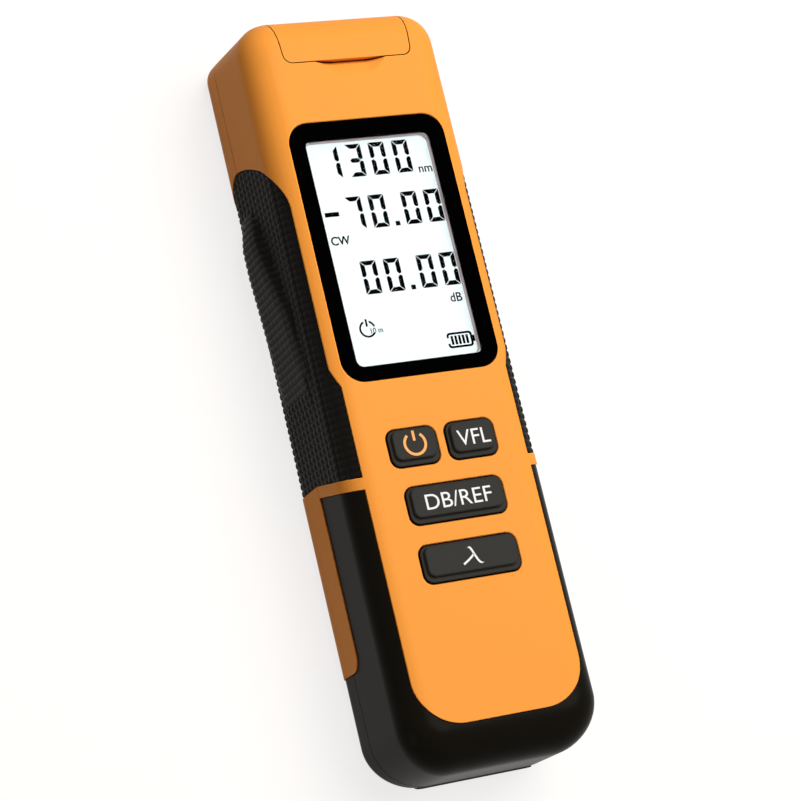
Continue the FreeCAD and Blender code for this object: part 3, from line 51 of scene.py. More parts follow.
def moulded_surface():
    """Colour, roughness and normal of a moulded part: fine grain, soft mottling, painted shade in joints and corners,
    and softened edges with a painted highlight.
    """
    group = bpy.data.node_groups.new("moulded_surface", "ShaderNodeTree")
    put, tie = group.nodes.new, group.links.new
    for name, kind, default in (("Color", "NodeSocketColor", (0.8, 0.8, 0.8, 1)),
                                ("Joint Color", "NodeSocketColor", (0, 0, 0, 1)),
                                ("Joint Reach", "NodeSocketFloat", 0.001),
                                ("Mottle", "NodeSocketFloat", 0.04), ("Roughness", "NodeSocketFloat", 0.5),
                                ("Roughness Spread", "NodeSocketFloat", 0.06), ("Grain Scale", "NodeSocketFloat", 4000),
                                ("Grain Depth", "NodeSocketFloat", 0.1), ("Edge Radius", "NodeSocketFloat", 0.0002),
                                ("Edge Rub", "NodeSocketFloat", 0.1)):
        group.interface.new_socket(name, in_out="INPUT", socket_type=kind).default_value = default
    for name, kind in (("Color", "NodeSocketColor"), ("Roughness", "NodeSocketFloat"), ("Normal", "NodeSocketVector")):
        group.interface.new_socket(name, in_out="OUTPUT", socket_type=kind)
    given, out, place = put("NodeGroupInput"), put("NodeGroupOutput"), put("ShaderNodeTexCoord")

    def worked_out(kind, first, second=None, third=None):
        maths = put("ShaderNodeMath")
        maths.operation = kind
        for socket, source in zip(maths.inputs, (first, second, third)):
            if isinstance(source, (int, float)):
                socket.default_value = source
            elif source is not None:
                tie(source, socket)
        return maths.outputs[0]

    # soft blotches in colour and gloss
    blotches = put("ShaderNodeTexNoise")
    blotches.inputs["Scale"].default_value = 60
    blotches.inputs["Detail"].default_value = 4
    tie(place.outputs["Object"], blotches.inputs["Vector"])
    swing = worked_out("SUBTRACT", blotches.outputs["Fac"], 0.5)
    gloss = worked_out("MULTIPLY_ADD", swing, given.outputs["Roughness Spread"], given.outputs["Roughness"])
    tie(gloss, out.inputs["Roughness"])

    # edges: rounded in the light, and painted paler as a highlight
    soft = put("ShaderNodeBevel")
    soft.samples = 4
    tie(given.outputs["Edge Radius"], soft.inputs["Radius"])
    shape = put("ShaderNodeNewGeometry")
    turn = put("ShaderNodeVectorMath")
    turn.operation = "DOT_PRODUCT"
    tie(soft.outputs["Normal"], turn.inputs[0])
    tie(shape.outputs["Normal"], turn.inputs[1])
    edge_highlight = worked_out("MULTIPLY", worked_out("SUBTRACT", 1.0, turn.outputs["Value"]), given.outputs["Edge Rub"])
    shade = worked_out("ADD", worked_out("MULTIPLY_ADD", swing, given.outputs["Mottle"], 1.0), edge_highlight)
    tint = put("ShaderNodeHueSaturation")
    tie(given.outputs["Color"], tint.inputs["Color"])
    tie(shade, tint.inputs["Value"])

    # joints and corners: painted shade, darker the more closely other surfaces hem them in
    near = put("ShaderNodeAmbientOcclusion")
    near.samples = 4
    tie(given.outputs["Joint Reach"], near.inputs["Distance"])
    shade_amount = put("ShaderNodeMapRange")
    shade_amount.inputs["From Min"].default_value = 0.25
    shade_amount.inputs["From Max"].default_value = 0.8
    tie(near.outputs["AO"], shade_amount.inputs["Value"])
    blend = put("ShaderNodeMix")
    blend.data_type = "RGBA"
    tie(shade_amount.outputs["Result"], blend.inputs["Factor"])
    tie(given.outputs["Joint Color"], blend.inputs["A"])
    tie(tint.outputs["Color"], blend.inputs["B"])
    tie(blend.outputs["Result"], out.inputs["Color"])

    # the mould's grain
    grain = put("ShaderNodeTexNoise")
    grain.inputs["Detail"].default_value = 2
    tie(place.outputs["Object"], grain.inputs["Vector"])
    tie(given.outputs["Grain Scale"], grain.inputs["Scale"])
    bump = put("ShaderNodeBump")
    bump.inputs["Distance"].default_value = 0.0001
    tie(grain.outputs["Fac"], bump.inputs["Height"])
    tie(given.outputs["Grain Depth"], bump.inputs["Strength"])
    tie(soft.outputs["Normal"], bump.inputs["Normal"])
    tie(bump.outputs["Normal"], out.inputs["Normal"])
    return group


moulded = moulded_surface()


def moulding(name, color, roughness, crevice_shade=(0, 0, 0), shade_reach=0.001, mottle=0.04, grain=0.1, grain_scale=4000,
             edge=0.0002, edge_highlight=0.1, **plain):
    """A moulded plastic or rubber: the surface group into a principled shader, with its plain values on it, painted
    shade in its crevices and a painted highlight on its edges.
    """
    material = bpy.data.materials.new(name)
    material.use_nodes = True
    shader = material.node_tree.nodes["Principled BSDF"]
    skin = material.node_tree.nodes.new("ShaderNodeGroup")
    skin.node_tree = moulded
    for socket, value in (("Color", (*color, 1)), ("Joint Color", (*crevice_shade, 1)), ("Joint Reach", shade_reach),
                          ("Mottle", mottle), ("Roughness", roughness), ("Grain Scale", grain_scale),
                          ("Grain Depth", grain), ("Edge Radius", edge), ("Edge Rub", edge_highlight)):
        skin.inputs[socket].default_value = value
    material.node_tree.links.new(skin.outputs["Color"], shader.inputs["Base Color"])
    material.node_tree.links.new(skin.outputs["Roughness"], shader.inputs["Roughness"])
    material.node_tree.links.new(skin.outputs["Normal"], shader.inputs["Normal"])
    for socket, value in plain.items():
        shader.inputs[socket.replace("_", " ")].default_value = value
    return material


def coat(piece, material):
    piece.data.materials.clear()
    piece.data.materials.append(material)


def dress(material, *names):
    """Give carried-over nodes a material."""
    for name in names:
        coat(node[name], material)


# deep red painted shade in its joints and a strong painted highlight along its edges
orange = moulding("satin_orange_abs", (0.95, 0.35, 0.052), 0.45, crevice_shade=(0.13, 0.008, 0.0), shade_reach=0.0011, grain=0.12,
                  edge=0.0003, edge_highlight=3.0, Specular_IOR_Level=0.06)
dress(orange, "front_shell", "rear_shell", "port_lid")

# ---------------------------------------------------------------- bumpers
# Soft black rubber, smooth and slightly shiny, moulded into a shallow recess round the foot of each half,
# so that its face is flush with the plastic.
bumper_black = moulding("smooth_black_rubber", (0.006, 0.0048, 0.0028), 0.33, crevice_shade=(0.05, 0.006, 0.001), shade_reach=0.0006,
                        grain=0.04, Specular_IOR_Level=0.03)
dress(bumper_black, "front_bumper", "rear_bumper")

# ---------------------------------------------------------------- side grips
# Black rubber grips, one each side, each with a palm lobe, glued into a recess of both halves. They are
# moulded all over with crossing grooves: close ribs round the casing and wider columns along it.
RIB_PITCH, COLUMN_PITCH = 0.00165, 0.0023
RIB_ROWS, COLUMN_ROWS = 6, 6  # rows of the sheet to each rib and column
RIB_DEPTH, COLUMN_DEPTH = 0.0004, 0.00038
RIB_SHAPE = (1.0, 0.3, 0.0, 0.0, 0.0, 0.3)  # how deep each row lies, from groove to groove
COLUMN_SHAPE = (1.0, 0.2, 0.0, 0.0, 0.0, 0.2)
LOBE_X, LOBE_FADE = 0.0243, 0.2  # on the lobe, beyond this width, the columns are shallow
GRIP_THICK = 0.0007
OUTER_FACING = 0.03  # faces of the plain grip turned outwards at least this much are its outer skin
OUTLINE_INSET, OUTLINE_REACH = 0.004, 0.015  # the outline starts inside the grip and ends beyond the lobe
SHEET_X = 0.035  # the sheet is dropped from here
FORMER_SIZE, FORMER_MIDDLE = (0.04776, 0.14, 0.03126), (0, 0.02, 0.01575)
FORMER_FACE_ROUND, FORMER_BACK_ROUND = 0.00688, 0.00408
MERGE = 0.000002

grip_black = moulding("ribbed_black_rubber", (0.0085, 0.0075, 0.006), 0.45, shade_reach=0.0007, grain=0.1, edge=0.0001,
                      edge_highlight=2.0, Specular_IOR_Level=0.04)


def activate(piece):
    bpy.ops.object.select_all(action="DESELECT")
    piece.select_set(True)
    bpy.context.view_layer.objects.active = piece


def pick(piece, kind, wanted):
    """Go into edit mode with only the faces, edges or vertices that a test wants."""
    activate(piece)
    bpy.ops.object.mode_set(mode="EDIT")
    bpy.ops.mesh.select_mode(type=kind)
    bpy.ops.mesh.select_all(action="DESELECT")
    bpy.ops.object.mode_set(mode="OBJECT")
    parts = {"VERT": piece.data.vertices, "EDGE": piece.data.edges, "FACE": piece.data.polygons}[kind]
    for part in parts:
        part.select = wanted(part)
    bpy.ops.object.mode_set(mode="EDIT")


def apply_modifier(piece, kind, **values):
    modifier = piece.modifiers.new(kind.lower(), kind)
    for key, value in values.items():
        setattr(modifier, key, value)
    activate(piece)
    bpy.ops.object.modifier_apply(modifier=modifier.name)


def copy_of(name):
    """A merged copy of a carried-over node, to work from."""
    copy = node[name].copy()
    copy.data = node[name].data.copy()
    copy.parent = None
    bpy.context.collection.objects.link(copy)
    activate(copy)
    bpy.ops.object.mode_set(mode="EDIT")
    bpy.ops.mesh.select_all(action="SELECT")
    bpy.ops.mesh.remove_doubles(threshold=MERGE)
    bpy.ops.object.mode_set(mode="OBJECT")
    return copy


def ribbed_grip():
    """The right grip: a grooved sheet laid over the plain one, given a thickness and trimmed to its outline."""
    low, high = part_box("right_grip")

    # the outline: the outer skin of the plain grip, flattened and drawn out sideways
    outline = copy_of("right_grip")
    pick(outline, "FACE", lambda face: face.normal.x < OUTER_FACING)
    bpy.ops.mesh.delete(type="FACE")
    bpy.ops.mesh.select_all(action="SELECT")
    bpy.ops.transform.resize(value=(0, 1, 1), center_override=(low.x - OUTLINE_INSET, 0, 0))
    bpy.ops.mesh.remove_doubles(threshold=MERGE)
    bpy.ops.mesh.extrude_region_move(TRANSFORM_OT_translate={"value": (OUTLINE_REACH, 0, 0)})
    bpy.ops.mesh.select_all(action="SELECT")
    bpy.ops.mesh.normals_make_consistent(inside=False)
    bpy.ops.object.mode_set(mode="OBJECT")

    # the target: the plain grip, and a plain body with the casing's roundings for the sheet to lie on outside it
    bpy.ops.mesh.primitive_cube_add(size=1)
    former = bpy.context.object
    bpy.ops.object.mode_set(mode="EDIT")
    bpy.ops.transform.resize(value=FORMER_SIZE)
    bpy.ops.transform.translate(value=FORMER_MIDDLE)
    bpy.ops.object.mode_set(mode="OBJECT")
    for top, radius in ((True, FORMER_FACE_ROUND), (False, FORMER_BACK_ROUND)):
        ends = [vertex.co.copy() for vertex in former.data.vertices]
        pick(former, "EDGE", lambda edge: (ends[edge.vertices[0]].z > FORMER_MIDDLE[2]) == top
             and abs(ends[edge.vertices[0]].y - ends[edge.vertices[1]].y) > FORMER_SIZE[1] / 2)
        bpy.ops.mesh.bevel(offset=radius, segments=32)
        bpy.ops.object.mode_set(mode="OBJECT")
    cast = copy_of("right_grip")
    former.select_set(True)
    bpy.context.view_layer.objects.active = cast
    bpy.ops.object.join()

    # the sheet: a fine grid dropped on the side
    step_y, step_z = RIB_PITCH / RIB_ROWS, COLUMN_PITCH / COLUMN_ROWS
    rows, columns = int((high.y - low.y) / step_y) + 9, int((high.z - low.z) / step_z) + 3
    bpy.ops.mesh.primitive_grid_add(x_subdivisions=columns - 1, y_subdivisions=rows - 1, size=1)
    sheet = bpy.context.object
    bpy.ops.object.mode_set(mode="EDIT")
    bpy.ops.transform.resize(value=((columns - 1) * step_z, (rows - 1) * step_y, 1))
    bpy.ops.transform.rotate(value=radians(-90), orient_axis="Y", center_override=(0, 0, 0))
    bpy.ops.transform.translate(value=(SHEET_X, (low.y + high.y) / 2, (low.z + high.z) / 2))
    bpy.ops.object.mode_set(mode="OBJECT")
    apply_modifier(sheet, "SHRINKWRAP", target=cast, wrap_method="PROJECT", use_project_x=True,
                   use_positive_direction=False, use_negative_direction=True)
    apply_modifier(sheet, "SMOOTH", factor=0.5, iterations=5)

    # ribs and columns: weights by place, pressed in along the normals
    weights = sheet.vertex_groups.new(name="grooves")
    for vertex in sheet.data.vertices:
        rib = RIB_SHAPE[round((vertex.co.y - low.y) / step_y) % RIB_ROWS]
        column = COLUMN_SHAPE[round((vertex.co.z - low.z) / step_z) % COLUMN_ROWS]
        faded = column * COLUMN_DEPTH / RIB_DEPTH * (LOBE_FADE if vertex.co.x > LOBE_X else 1.0)
        weights.add([vertex.index], max(rib, faded), "REPLACE")
    apply_modifier(sheet, "DISPLACE", vertex_group="grooves", strength=-RIB_DEPTH, mid_level=0)
    apply_modifier(sheet, "SOLIDIFY", thickness=GRIP_THICK, offset=-1)
    apply_modifier(sheet, "BOOLEAN", object=outline, operation="INTERSECT", solver="MANIFOLD")
    for tool in (cast, outline):
        bpy.data.objects.remove(tool)
    return sheet


right = ribbed_grip()
right.name = "right_ribbed_grip"
activate(right)
bpy.ops.object.shade_smooth_by_angle(angle=radians(50))
left = right.copy()
left.data = right.data.copy()
bpy.context.collection.objects.link(left)
left.name = "left_ribbed_grip"
activate(left)
bpy.ops.object.mode_set(mode="EDIT")
bpy.ops.mesh.select_all(action="SELECT")
bpy.ops.transform.resize(value=(-1, 1, 1), center_override=(0, 0, 0))
bpy.ops.mesh.normals_make_consistent(inside=False)
bpy.ops.object.mode_set(mode="OBJECT")
for grip, plain in ((right, "right_grip"), (left, "left_grip")):
    coat(grip, grip_black)
    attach(grip, "casing")
    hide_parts(plain)

# ---------------------------------------------------------------- display
# A clear lens with a black border printed on its face, on a ring of pale foam. Under it the pale display
# glass with its light guide, and the black segments and their printed marks.
WINDOW_WIDTH, WINDOW_LENGTH, WINDOW_X, WINDOW_Y, WINDOW_CORNER = 0.03065, 0.0536, -0.00007, 0.0295, 0.0017
PRINT_THICK, CUTTER_TALL = 0.00003, 0.002

clear = moulding("clear_lens", (1, 1, 1), 0.02, crevice_shade=(1, 1, 1), mottle=0, grain=0.0, edge=0.0001, edge_highlight=0,
                 Transmission_Weight=1.0, IOR=1.05)
skin = clear.node_tree.nodes["Group"]
skin.inputs["Roughness Spread"].default_value = 0.01
dress(clear, "display_lens")
foam = moulding("pale_foam", (0.50, 0.42, 0.42), 0.9, crevice_shade=(0.35, 0.28, 0.28), grain=0.6, grain_scale=2500,
                edge=0.00003, Specular_IOR_Level=0.1)
dress(foam, "lens_gasket")
lit = moulding("lit_display", (0.20, 0.23, 0.235), 0.4, crevice_shade=(0.17, 0.19, 0.2), mottle=0.02,
               Emission_Color=(0.89, 0.985, 1.0, 1), Emission_Strength=0.71, Specular_IOR_Level=0.1)
dress(lit, "lcd_panel", "backlight")
ink = moulding("display_segments", (0.001, 0.001, 0.001), 0.6, mottle=0.3, grain=0.0, edge=0.00001, edge_highlight=0,
               Specular_IOR_Level=0.0)
dress(ink, "lcd_segments")
dress(moulding("white_display_frame", (0.75, 0.74, 0.72), 0.5, crevice_shade=(0.3, 0.29, 0.28)), "lcd_frame")


def upright_block(size, middle, corner):
    """A block with its upright edges rounded."""
    bpy.ops.mesh.primitive_cube_add(size=1)
    block = bpy.context.object
    bpy.ops.object.mode_set(mode="EDIT")
    bpy.ops.transform.resize(value=size)
    bpy.ops.transform.translate(value=middle)
    bpy.ops.object.mode_set(mode="OBJECT")
    ends = [vertex.co.copy() for vertex in block.data.vertices]
    pick(block, "EDGE", lambda edge: abs(ends[edge.vertices[0]].z - ends[edge.vertices[1]].z) > size[2] / 2)
    bpy.ops.mesh.bevel(offset=corner, segments=8)
    bpy.ops.object.mode_set(mode="OBJECT")
    return block


# the printed border: the lens's own outline, lifted from its face, less the window
lens_low, lens_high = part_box("display_lens")
border = copy_of("display_lens")
border.name = "lens_print"
pick(border, "FACE", lambda face: face.normal.z < 0.99 or face.center.z < lens_high.z - PRINT_THICK / 2)
bpy.ops.mesh.delete(type="FACE")
bpy.ops.mesh.select_all(action="SELECT")
bpy.ops.mesh.extrude_region_move(TRANSFORM_OT_translate={"value": (0, 0, PRINT_THICK)})
bpy.ops.mesh.select_all(action="SELECT")
bpy.ops.mesh.normals_make_consistent(inside=False)
bpy.ops.object.mode_set(mode="OBJECT")
window = upright_block((WINDOW_WIDTH, WINDOW_LENGTH, CUTTER_TALL), (WINDOW_X, WINDOW_Y, lens_high.z), WINDOW_CORNER)
apply_modifier(border, "BOOLEAN", object=window, operation="DIFFERENCE", solver="EXACT")
bpy.data.objects.remove(window)
coat(border, moulding("black_lens_print", (0.0006, 0.0006, 0.0006), 0.4, mottle=0.2, grain=0.03,
                      edge=0.00001, edge_highlight=0, Specular_IOR_Level=0.0))
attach(border, "casing")

# the liner: a thin pale wall round the window, from the glass up to the lens
LINER_WIDTH, LINER_LENGTH, LINER_CORNER, LINER_THICK, LINER_PLAY = 0.03074, 0.05354, 0.0022, 0.0001, 0.00003
glass_low, glass_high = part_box("lcd_panel")
liner_tall = lens_low.z - glass_high.z - 2 * LINER_PLAY
liner = upright_block((LINER_WIDTH, LINER_LENGTH, liner_tall), (0, WINDOW_Y, (lens_low.z + glass_high.z) / 2),
                      LINER_CORNER)
liner.name = "window_liner"
pick(liner, "FACE", lambda face: abs(face.normal.z) > 0.9)
bpy.ops.mesh.delete(type="FACE")
bpy.ops.object.mode_set(mode="OBJECT")
apply_modifier(liner, "SOLIDIFY", thickness=LINER_THICK, offset=-1)
coat(liner, foam)
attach(liner, "casing")

MARK_THICK = 0.00006


def lettering(name, words, size, middle, z, material, body, stroke=0.0):
    """Words cut from thin sheet, lying face up and centred on a point."""
    bpy.ops.object.text_add(location=(0, 0, 0))
    text = bpy.context.object
    text.data.body = words
    text.data.align_x, text.data.align_y = "CENTER", "CENTER"
    text.data.offset = stroke
    text.data.extrude = 0.5
    text.data.resolution_u = 6
    activate(text)
    bpy.ops.object.convert(target="MESH")
    text.name = name
    corners = [Vector(c) for c in text.bound_box]
    low = Vector(min(c[i] for c in corners) for i in range(3))
    high = Vector(max(c[i] for c in corners) for i in range(3))
    bpy.ops.object.mode_set(mode="EDIT")
    bpy.ops.mesh.select_all(action="SELECT")
    bpy.ops.transform.translate(value=-(low + high) / 2)
    scale = (size[0] / (high.x - low.x), size[1] / (high.y - low.y), MARK_THICK)
    bpy.ops.transform.resize(value=scale, center_override=(0, 0, 0))
    bpy.ops.transform.translate(value=(middle[0], middle[1], z + MARK_THICK / 2))
    bpy.ops.object.mode_set(mode="OBJECT")
    coat(text, material)
    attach(text, body)
    return text


for name, words, size, middle, stroke in (
        ("mark_nm", "nm", (0.0033, 0.0014), (0.01335, 0.0479), 0.01),
        ("mark_cw", "CW", (0.0046, 0.0021), (-0.01135, 0.03295), 0.02),
        ("mark_db", "dB", (0.0029, 0.0021), (0.01305, 0.01685), 0.01),
        ("mark_minutes", "10 m", (0.0029, 0.0013), (-0.00785, 0.01135), 0.01)):
    lettering(name, words, size, middle, glass_high.z, ink, "casing", stroke)

# ---------------------------------------------------------------- keys
# Four keys moulded in dark grey silicone rubber. Each has a rim held behind the face, a skirt in the hole and
# a raised, softly rounded top with its mark printed on.
key_grey = moulding("dark_grey_silicone", (0.022, 0.0215, 0.018), 0.55, crevice_shade=(0.002, 0.002, 0.002), shade_reach=0.0013,
                    grain=0.25, grain_scale=3000, edge=0.0003, edge_highlight=1.2, Specular_IOR_Level=0.1)
dress(key_grey, "power_key", "fault_key", "reference_key", "wavelength_key")
white_print = moulding("white_print", (0.80, 0.80, 0.80), 0.5, mottle=0.05, edge=0.00001, edge_highlight=0)
orange_print = moulding("orange_print", (0.95, 0.36, 0.05), 0.5, mottle=0.05, edge=0.00001, edge_highlight=0)

for name, words, size, shift in (("fault", "VFL", (0.0078, 0.0035), (0.0002, 0.00017)),
                                 ("reference", "DB/REF", (0.0159, 0.0035), (0.00017, 0.00023))):
    low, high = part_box(name + "_key")
    middle = ((low.x + high.x) / 2 + shift[0], (low.y + high.y) / 2 + shift[1])
    mark = lettering(name + "_mark", words, size, middle, high.z - MARK_THICK / 2, white_print, name + "_button")


def pen_stroke(width, slope, points):
    """A flat stroke of a broad pen: an edge drawn out along a few steps."""
    bpy.ops.mesh.primitive_plane_add(size=1)
    stroke = bpy.context.object
    pick(stroke, "VERT", lambda vertex: vertex.co.y > 0)
    bpy.ops.mesh.delete(type="VERT")
    bpy.ops.mesh.select_all(action="SELECT")
    bpy.ops.transform.translate(value=(0, 0.5, 0))
    bpy.ops.transform.resize(value=(width, 1, 1), center_override=(0, 0, 0))
    bpy.ops.transform.rotate(value=-slope, orient_axis="Z", center_override=(0, 0, 0))
    bpy.ops.transform.translate(value=(*points[0], 0))
    for here, there in zip(points, points[1:]):
        bpy.ops.mesh.extrude_edges_move(TRANSFORM_OT_translate={"value": (there[0] - here[0], there[1] - here[1], 0)})
    bpy.ops.object.mode_set(mode="OBJECT")
    return stroke


# the wavelength mark: a long curling stroke with a wide leg
PEN_WIDTH = 0.00048
low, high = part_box("wavelength_key")
leg = pen_stroke(PEN_WIDTH, radians(110), ((0.00045, 0.0006), (-0.0002, 0.00005), (-0.0012, -0.00065),
                                           (-0.0024, -0.00135)))
mark = pen_stroke(PEN_WIDTH, radians(28), ((-0.00085, 0.00215), (-0.00045, 0.0023), (-0.0001, 0.0021),
                                           (0.00025, 0.0014), (0.0007, 0.0002), (0.0012, -0.0009),
                                           (0.0016, -0.0014), (0.002, -0.0016), (0.00235, -0.0015)))
mark.name = "wavelength_mark"
leg.select_set(True)
bpy.context.view_layer.objects.active = mark
bpy.ops.object.join()
apply_modifier(mark, "SOLIDIFY", thickness=MARK_THICK, offset=0)
pick(mark, "FACE", lambda face: True)
bpy.ops.transform.translate(value=((low.x + high.x) / 2, (low.y + high.y) / 2, high.z))
bpy.ops.mesh.normals_make_consistent(inside=False)
bpy.ops.object.mode_set(mode="OBJECT")
coat(mark, white_print)
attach(mark, "wavelength_button")

# the power mark: a ring open at the top and a bar in the opening
RING_RADIUS, RING_STROKE, RING_OPEN = 0.00277, 0.00062, radians(34)
RING_SHIFT_X, RING_SHIFT_Y = 0.00004, 0.00038
BAR_LENGTH, BAR_RISE, BAR_CORNER = 0.0023, 0.0018, 0.0001
low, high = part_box("power_key")
ring_x, ring_y = (low.x + high.x) / 2 + RING_SHIFT_X, (low.y + high.y) / 2 + RING_SHIFT_Y
bpy.ops.mesh.primitive_circle_add(vertices=96, radius=RING_RADIUS, location=(0, 0, 0))
ring = bpy.context.object
ring.name = "power_mark"
pick(ring, "VERT", lambda vertex: vertex.co.y > RING_RADIUS * cos(RING_OPEN))
bpy.ops.mesh.delete(type="VERT")
bpy.ops.mesh.select_all(action="SELECT")
bpy.ops.mesh.extrude_edges_move()
inward = 1 - RING_STROKE / RING_RADIUS
bpy.ops.transform.resize(value=(inward, inward, 1), center_override=(0, 0, 0))
bpy.ops.mesh.select_all(action="SELECT")
bpy.ops.transform.translate(value=(ring_x, ring_y, high.z))
bpy.ops.object.mode_set(mode="OBJECT")
bpy.ops.mesh.primitive_plane_add(size=1)
bar = bpy.context.object
bpy.ops.object.mode_set(mode="EDIT")
bpy.ops.transform.resize(value=(RING_STROKE, BAR_LENGTH, 1))
bpy.ops.mesh.bevel(offset=BAR_CORNER, segments=3, affect="VERTICES")
bpy.ops.mesh.select_all(action="SELECT")
bpy.ops.transform.translate(value=(ring_x, ring_y + BAR_RISE, high.z))
bpy.ops.object.mode_set(mode="OBJECT")
ring.select_set(True)
bpy.context.view_layer.objects.active = ring
bpy.ops.object.join()
apply_modifier(ring, "SOLIDIFY", thickness=MARK_THICK, offset=0)
pick(ring, "FACE", lambda face: True)
bpy.ops.mesh.normals_make_consistent(inside=False)
bpy.ops.object.mode_set(mode="OBJECT")
coat(ring, orange_print)
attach(ring, "power_button")

# ---------------------------------------------------------------- ports and lid pin
# Two nickel-plated brass connector ports on a black plate, held by hexagon nuts, with a white ceramic
# sleeve in the laser's port, and a drawn steel pin for the lid.


def turned_metal():
    """Colour, roughness and normal of turned or plated metal: fine tool rings along the length, and stains."""
    group = bpy.data.node_groups.new("turned_metal", "ShaderNodeTree")
    put, tie = group.nodes.new, group.links.new
    for name, kind, default in (("Color", "NodeSocketColor", (0.7, 0.7, 0.7, 1)),
                                ("Roughness", "NodeSocketFloat", 0.25),
                                ("Ring Scale", "NodeSocketFloat", 1200), ("Ring Depth", "NodeSocketFloat", 0.2)):
        group.interface.new_socket(name, in_out="INPUT", socket_type=kind).default_value = default
    for name, kind in (("Color", "NodeSocketColor"), ("Roughness", "NodeSocketFloat"), ("Normal", "NodeSocketVector")):
        group.interface.new_socket(name, in_out="OUTPUT", socket_type=kind)
    given, out, place = put("NodeGroupInput"), put("NodeGroupOutput"), put("ShaderNodeTexCoord")
    stain = put("ShaderNodeTexNoise")
    stain.inputs["Scale"].default_value = 220
    stain.inputs["Detail"].default_value = 5
    tie(place.outputs["Object"], stain.inputs["Vector"])
    level = put("ShaderNodeMapRange")
    level.inputs["To Min"].default_value = 0.82
    level.inputs["To Max"].default_value = 1.1
    tie(stain.outputs["Fac"], level.inputs["Value"])
    tint = put("ShaderNodeHueSaturation")
    tie(given.outputs["Color"], tint.inputs["Color"])
    tie(level.outputs["Result"], tint.inputs["Value"])
    tie(tint.outputs["Color"], out.inputs["Color"])
    rough = put("ShaderNodeMath")
    rough.operation = "MULTIPLY"
    tie(level.outputs["Result"], rough.inputs[0])
    tie(given.outputs["Roughness"], rough.inputs[1])
    tie(rough.outputs[0], out.inputs["Roughness"])
    rings = put("ShaderNodeTexWave")
    rings.bands_direction = "Y"
    rings.inputs["Distortion"].default_value = 0.4
    tie(place.outputs["Object"], rings.inputs["Vector"])
    tie(given.outputs["Ring Scale"], rings.inputs["Scale"])
    bump = put("ShaderNodeBump")
    bump.inputs["Distance"].default_value = 0.0001
    tie(rings.outputs["Fac"], bump.inputs["Height"])
    tie(given.outputs["Ring Depth"], bump.inputs["Strength"])
    tie(bump.outputs["Normal"], out.inputs["Normal"])
    return group


turned = turned_metal()


def metal(name, color, roughness, ring_scale=1200, ring_depth=0.2):
    material = bpy.data.materials.new(name)
    material.use_nodes = True
    shader = material.node_tree.nodes["Principled BSDF"]
    shader.inputs["Metallic"].default_value = 1.0
    skin = material.node_tree.nodes.new("ShaderNodeGroup")
    skin.node_tree = turned
    skin.inputs["Color"].default_value = (*color, 1)
    skin.inputs["Roughness"].default_value = roughness
    skin.inputs["Ring Scale"].default_value = ring_scale
    skin.inputs["Ring Depth"].default_value = ring_depth
    material.node_tree.links.new(skin.outputs["Color"], shader.inputs["Base Color"])
    material.node_tree.links.new(skin.outputs["Roughness"], shader.inputs["Roughness"])
    material.node_tree.links.new(skin.outputs["Normal"], shader.inputs["Normal"])
    return material


dress(metal("threaded_nickel", (0.66, 0.63, 0.57), 0.22, ring_scale=630, ring_depth=0.9), "meter_port", "laser_port")
dress(metal("bright_nickel", (0.68, 0.66, 0.61), 0.2), "port_nuts", "laser_module")
dress(metal("drawn_steel", (0.56, 0.57, 0.58), 0.3), "lid_pin", "detector")
dress(moulding("black_plate", (0.012, 0.012, 0.012), 0.5, grain=0.3), "port_plate")
dress(moulding("white_ceramic", (0.80, 0.79, 0.74), 0.2, crevice_shade=(0.3, 0.28, 0.25), grain=0.02, Coat_Weight=0.3),
      "laser_sleeve")

# ---------------------------------------------------------------- board and its parts
# A green glass-fibre board with its mask over fine copper tracks, black chips and key switches with their
# plungers, and small steel screws.
MASK_GREEN = (0.010, 0.11, 0.035)
laminate = moulding("green_laminate", MASK_GREEN, 0.3, mottle=0.25, Coat_Weight=0.3)
tree = laminate.node_tree
place = tree.nodes.new("ShaderNodeTexCoord")
tracks = tree.nodes.new("ShaderNodeTexBrick")
tracks.inputs["Scale"].default_value = 260
tracks.inputs["Mortar Size"].default_value = 0.03
tracks.inputs["Color1"].default_value = (*MASK_GREEN, 1)
tracks.inputs["Color2"].default_value = (0.008, 0.09, 0.03, 1)
tracks.inputs["Mortar"].default_value = (0.05, 0.27, 0.10, 1)
tree.links.new(place.outputs["Object"], tracks.inputs["Vector"])
tree.links.new(tracks.outputs["Color"], tree.nodes["Group"].inputs["Color"])
dress(laminate, "main_board")
dress(moulding("chip_black", (0.012, 0.012, 0.013), 0.55, grain=0.5, grain_scale=2500),
      "controller_chip", "amplifier_chip")
dress(moulding("switch_black", (0.015, 0.015, 0.015), 0.45), "tact_switches")
dress(moulding("white_plunger", (0.62, 0.61, 0.58), 0.45, crevice_shade=(0.2, 0.2, 0.19)), "power_plunger", "fault_plunger",
      "reference_plunger", "wavelength_plunger")
dress(metal("plated_steel", (0.60, 0.60, 0.61), 0.35, ring_scale=900, ring_depth=0.1), "board_screws")

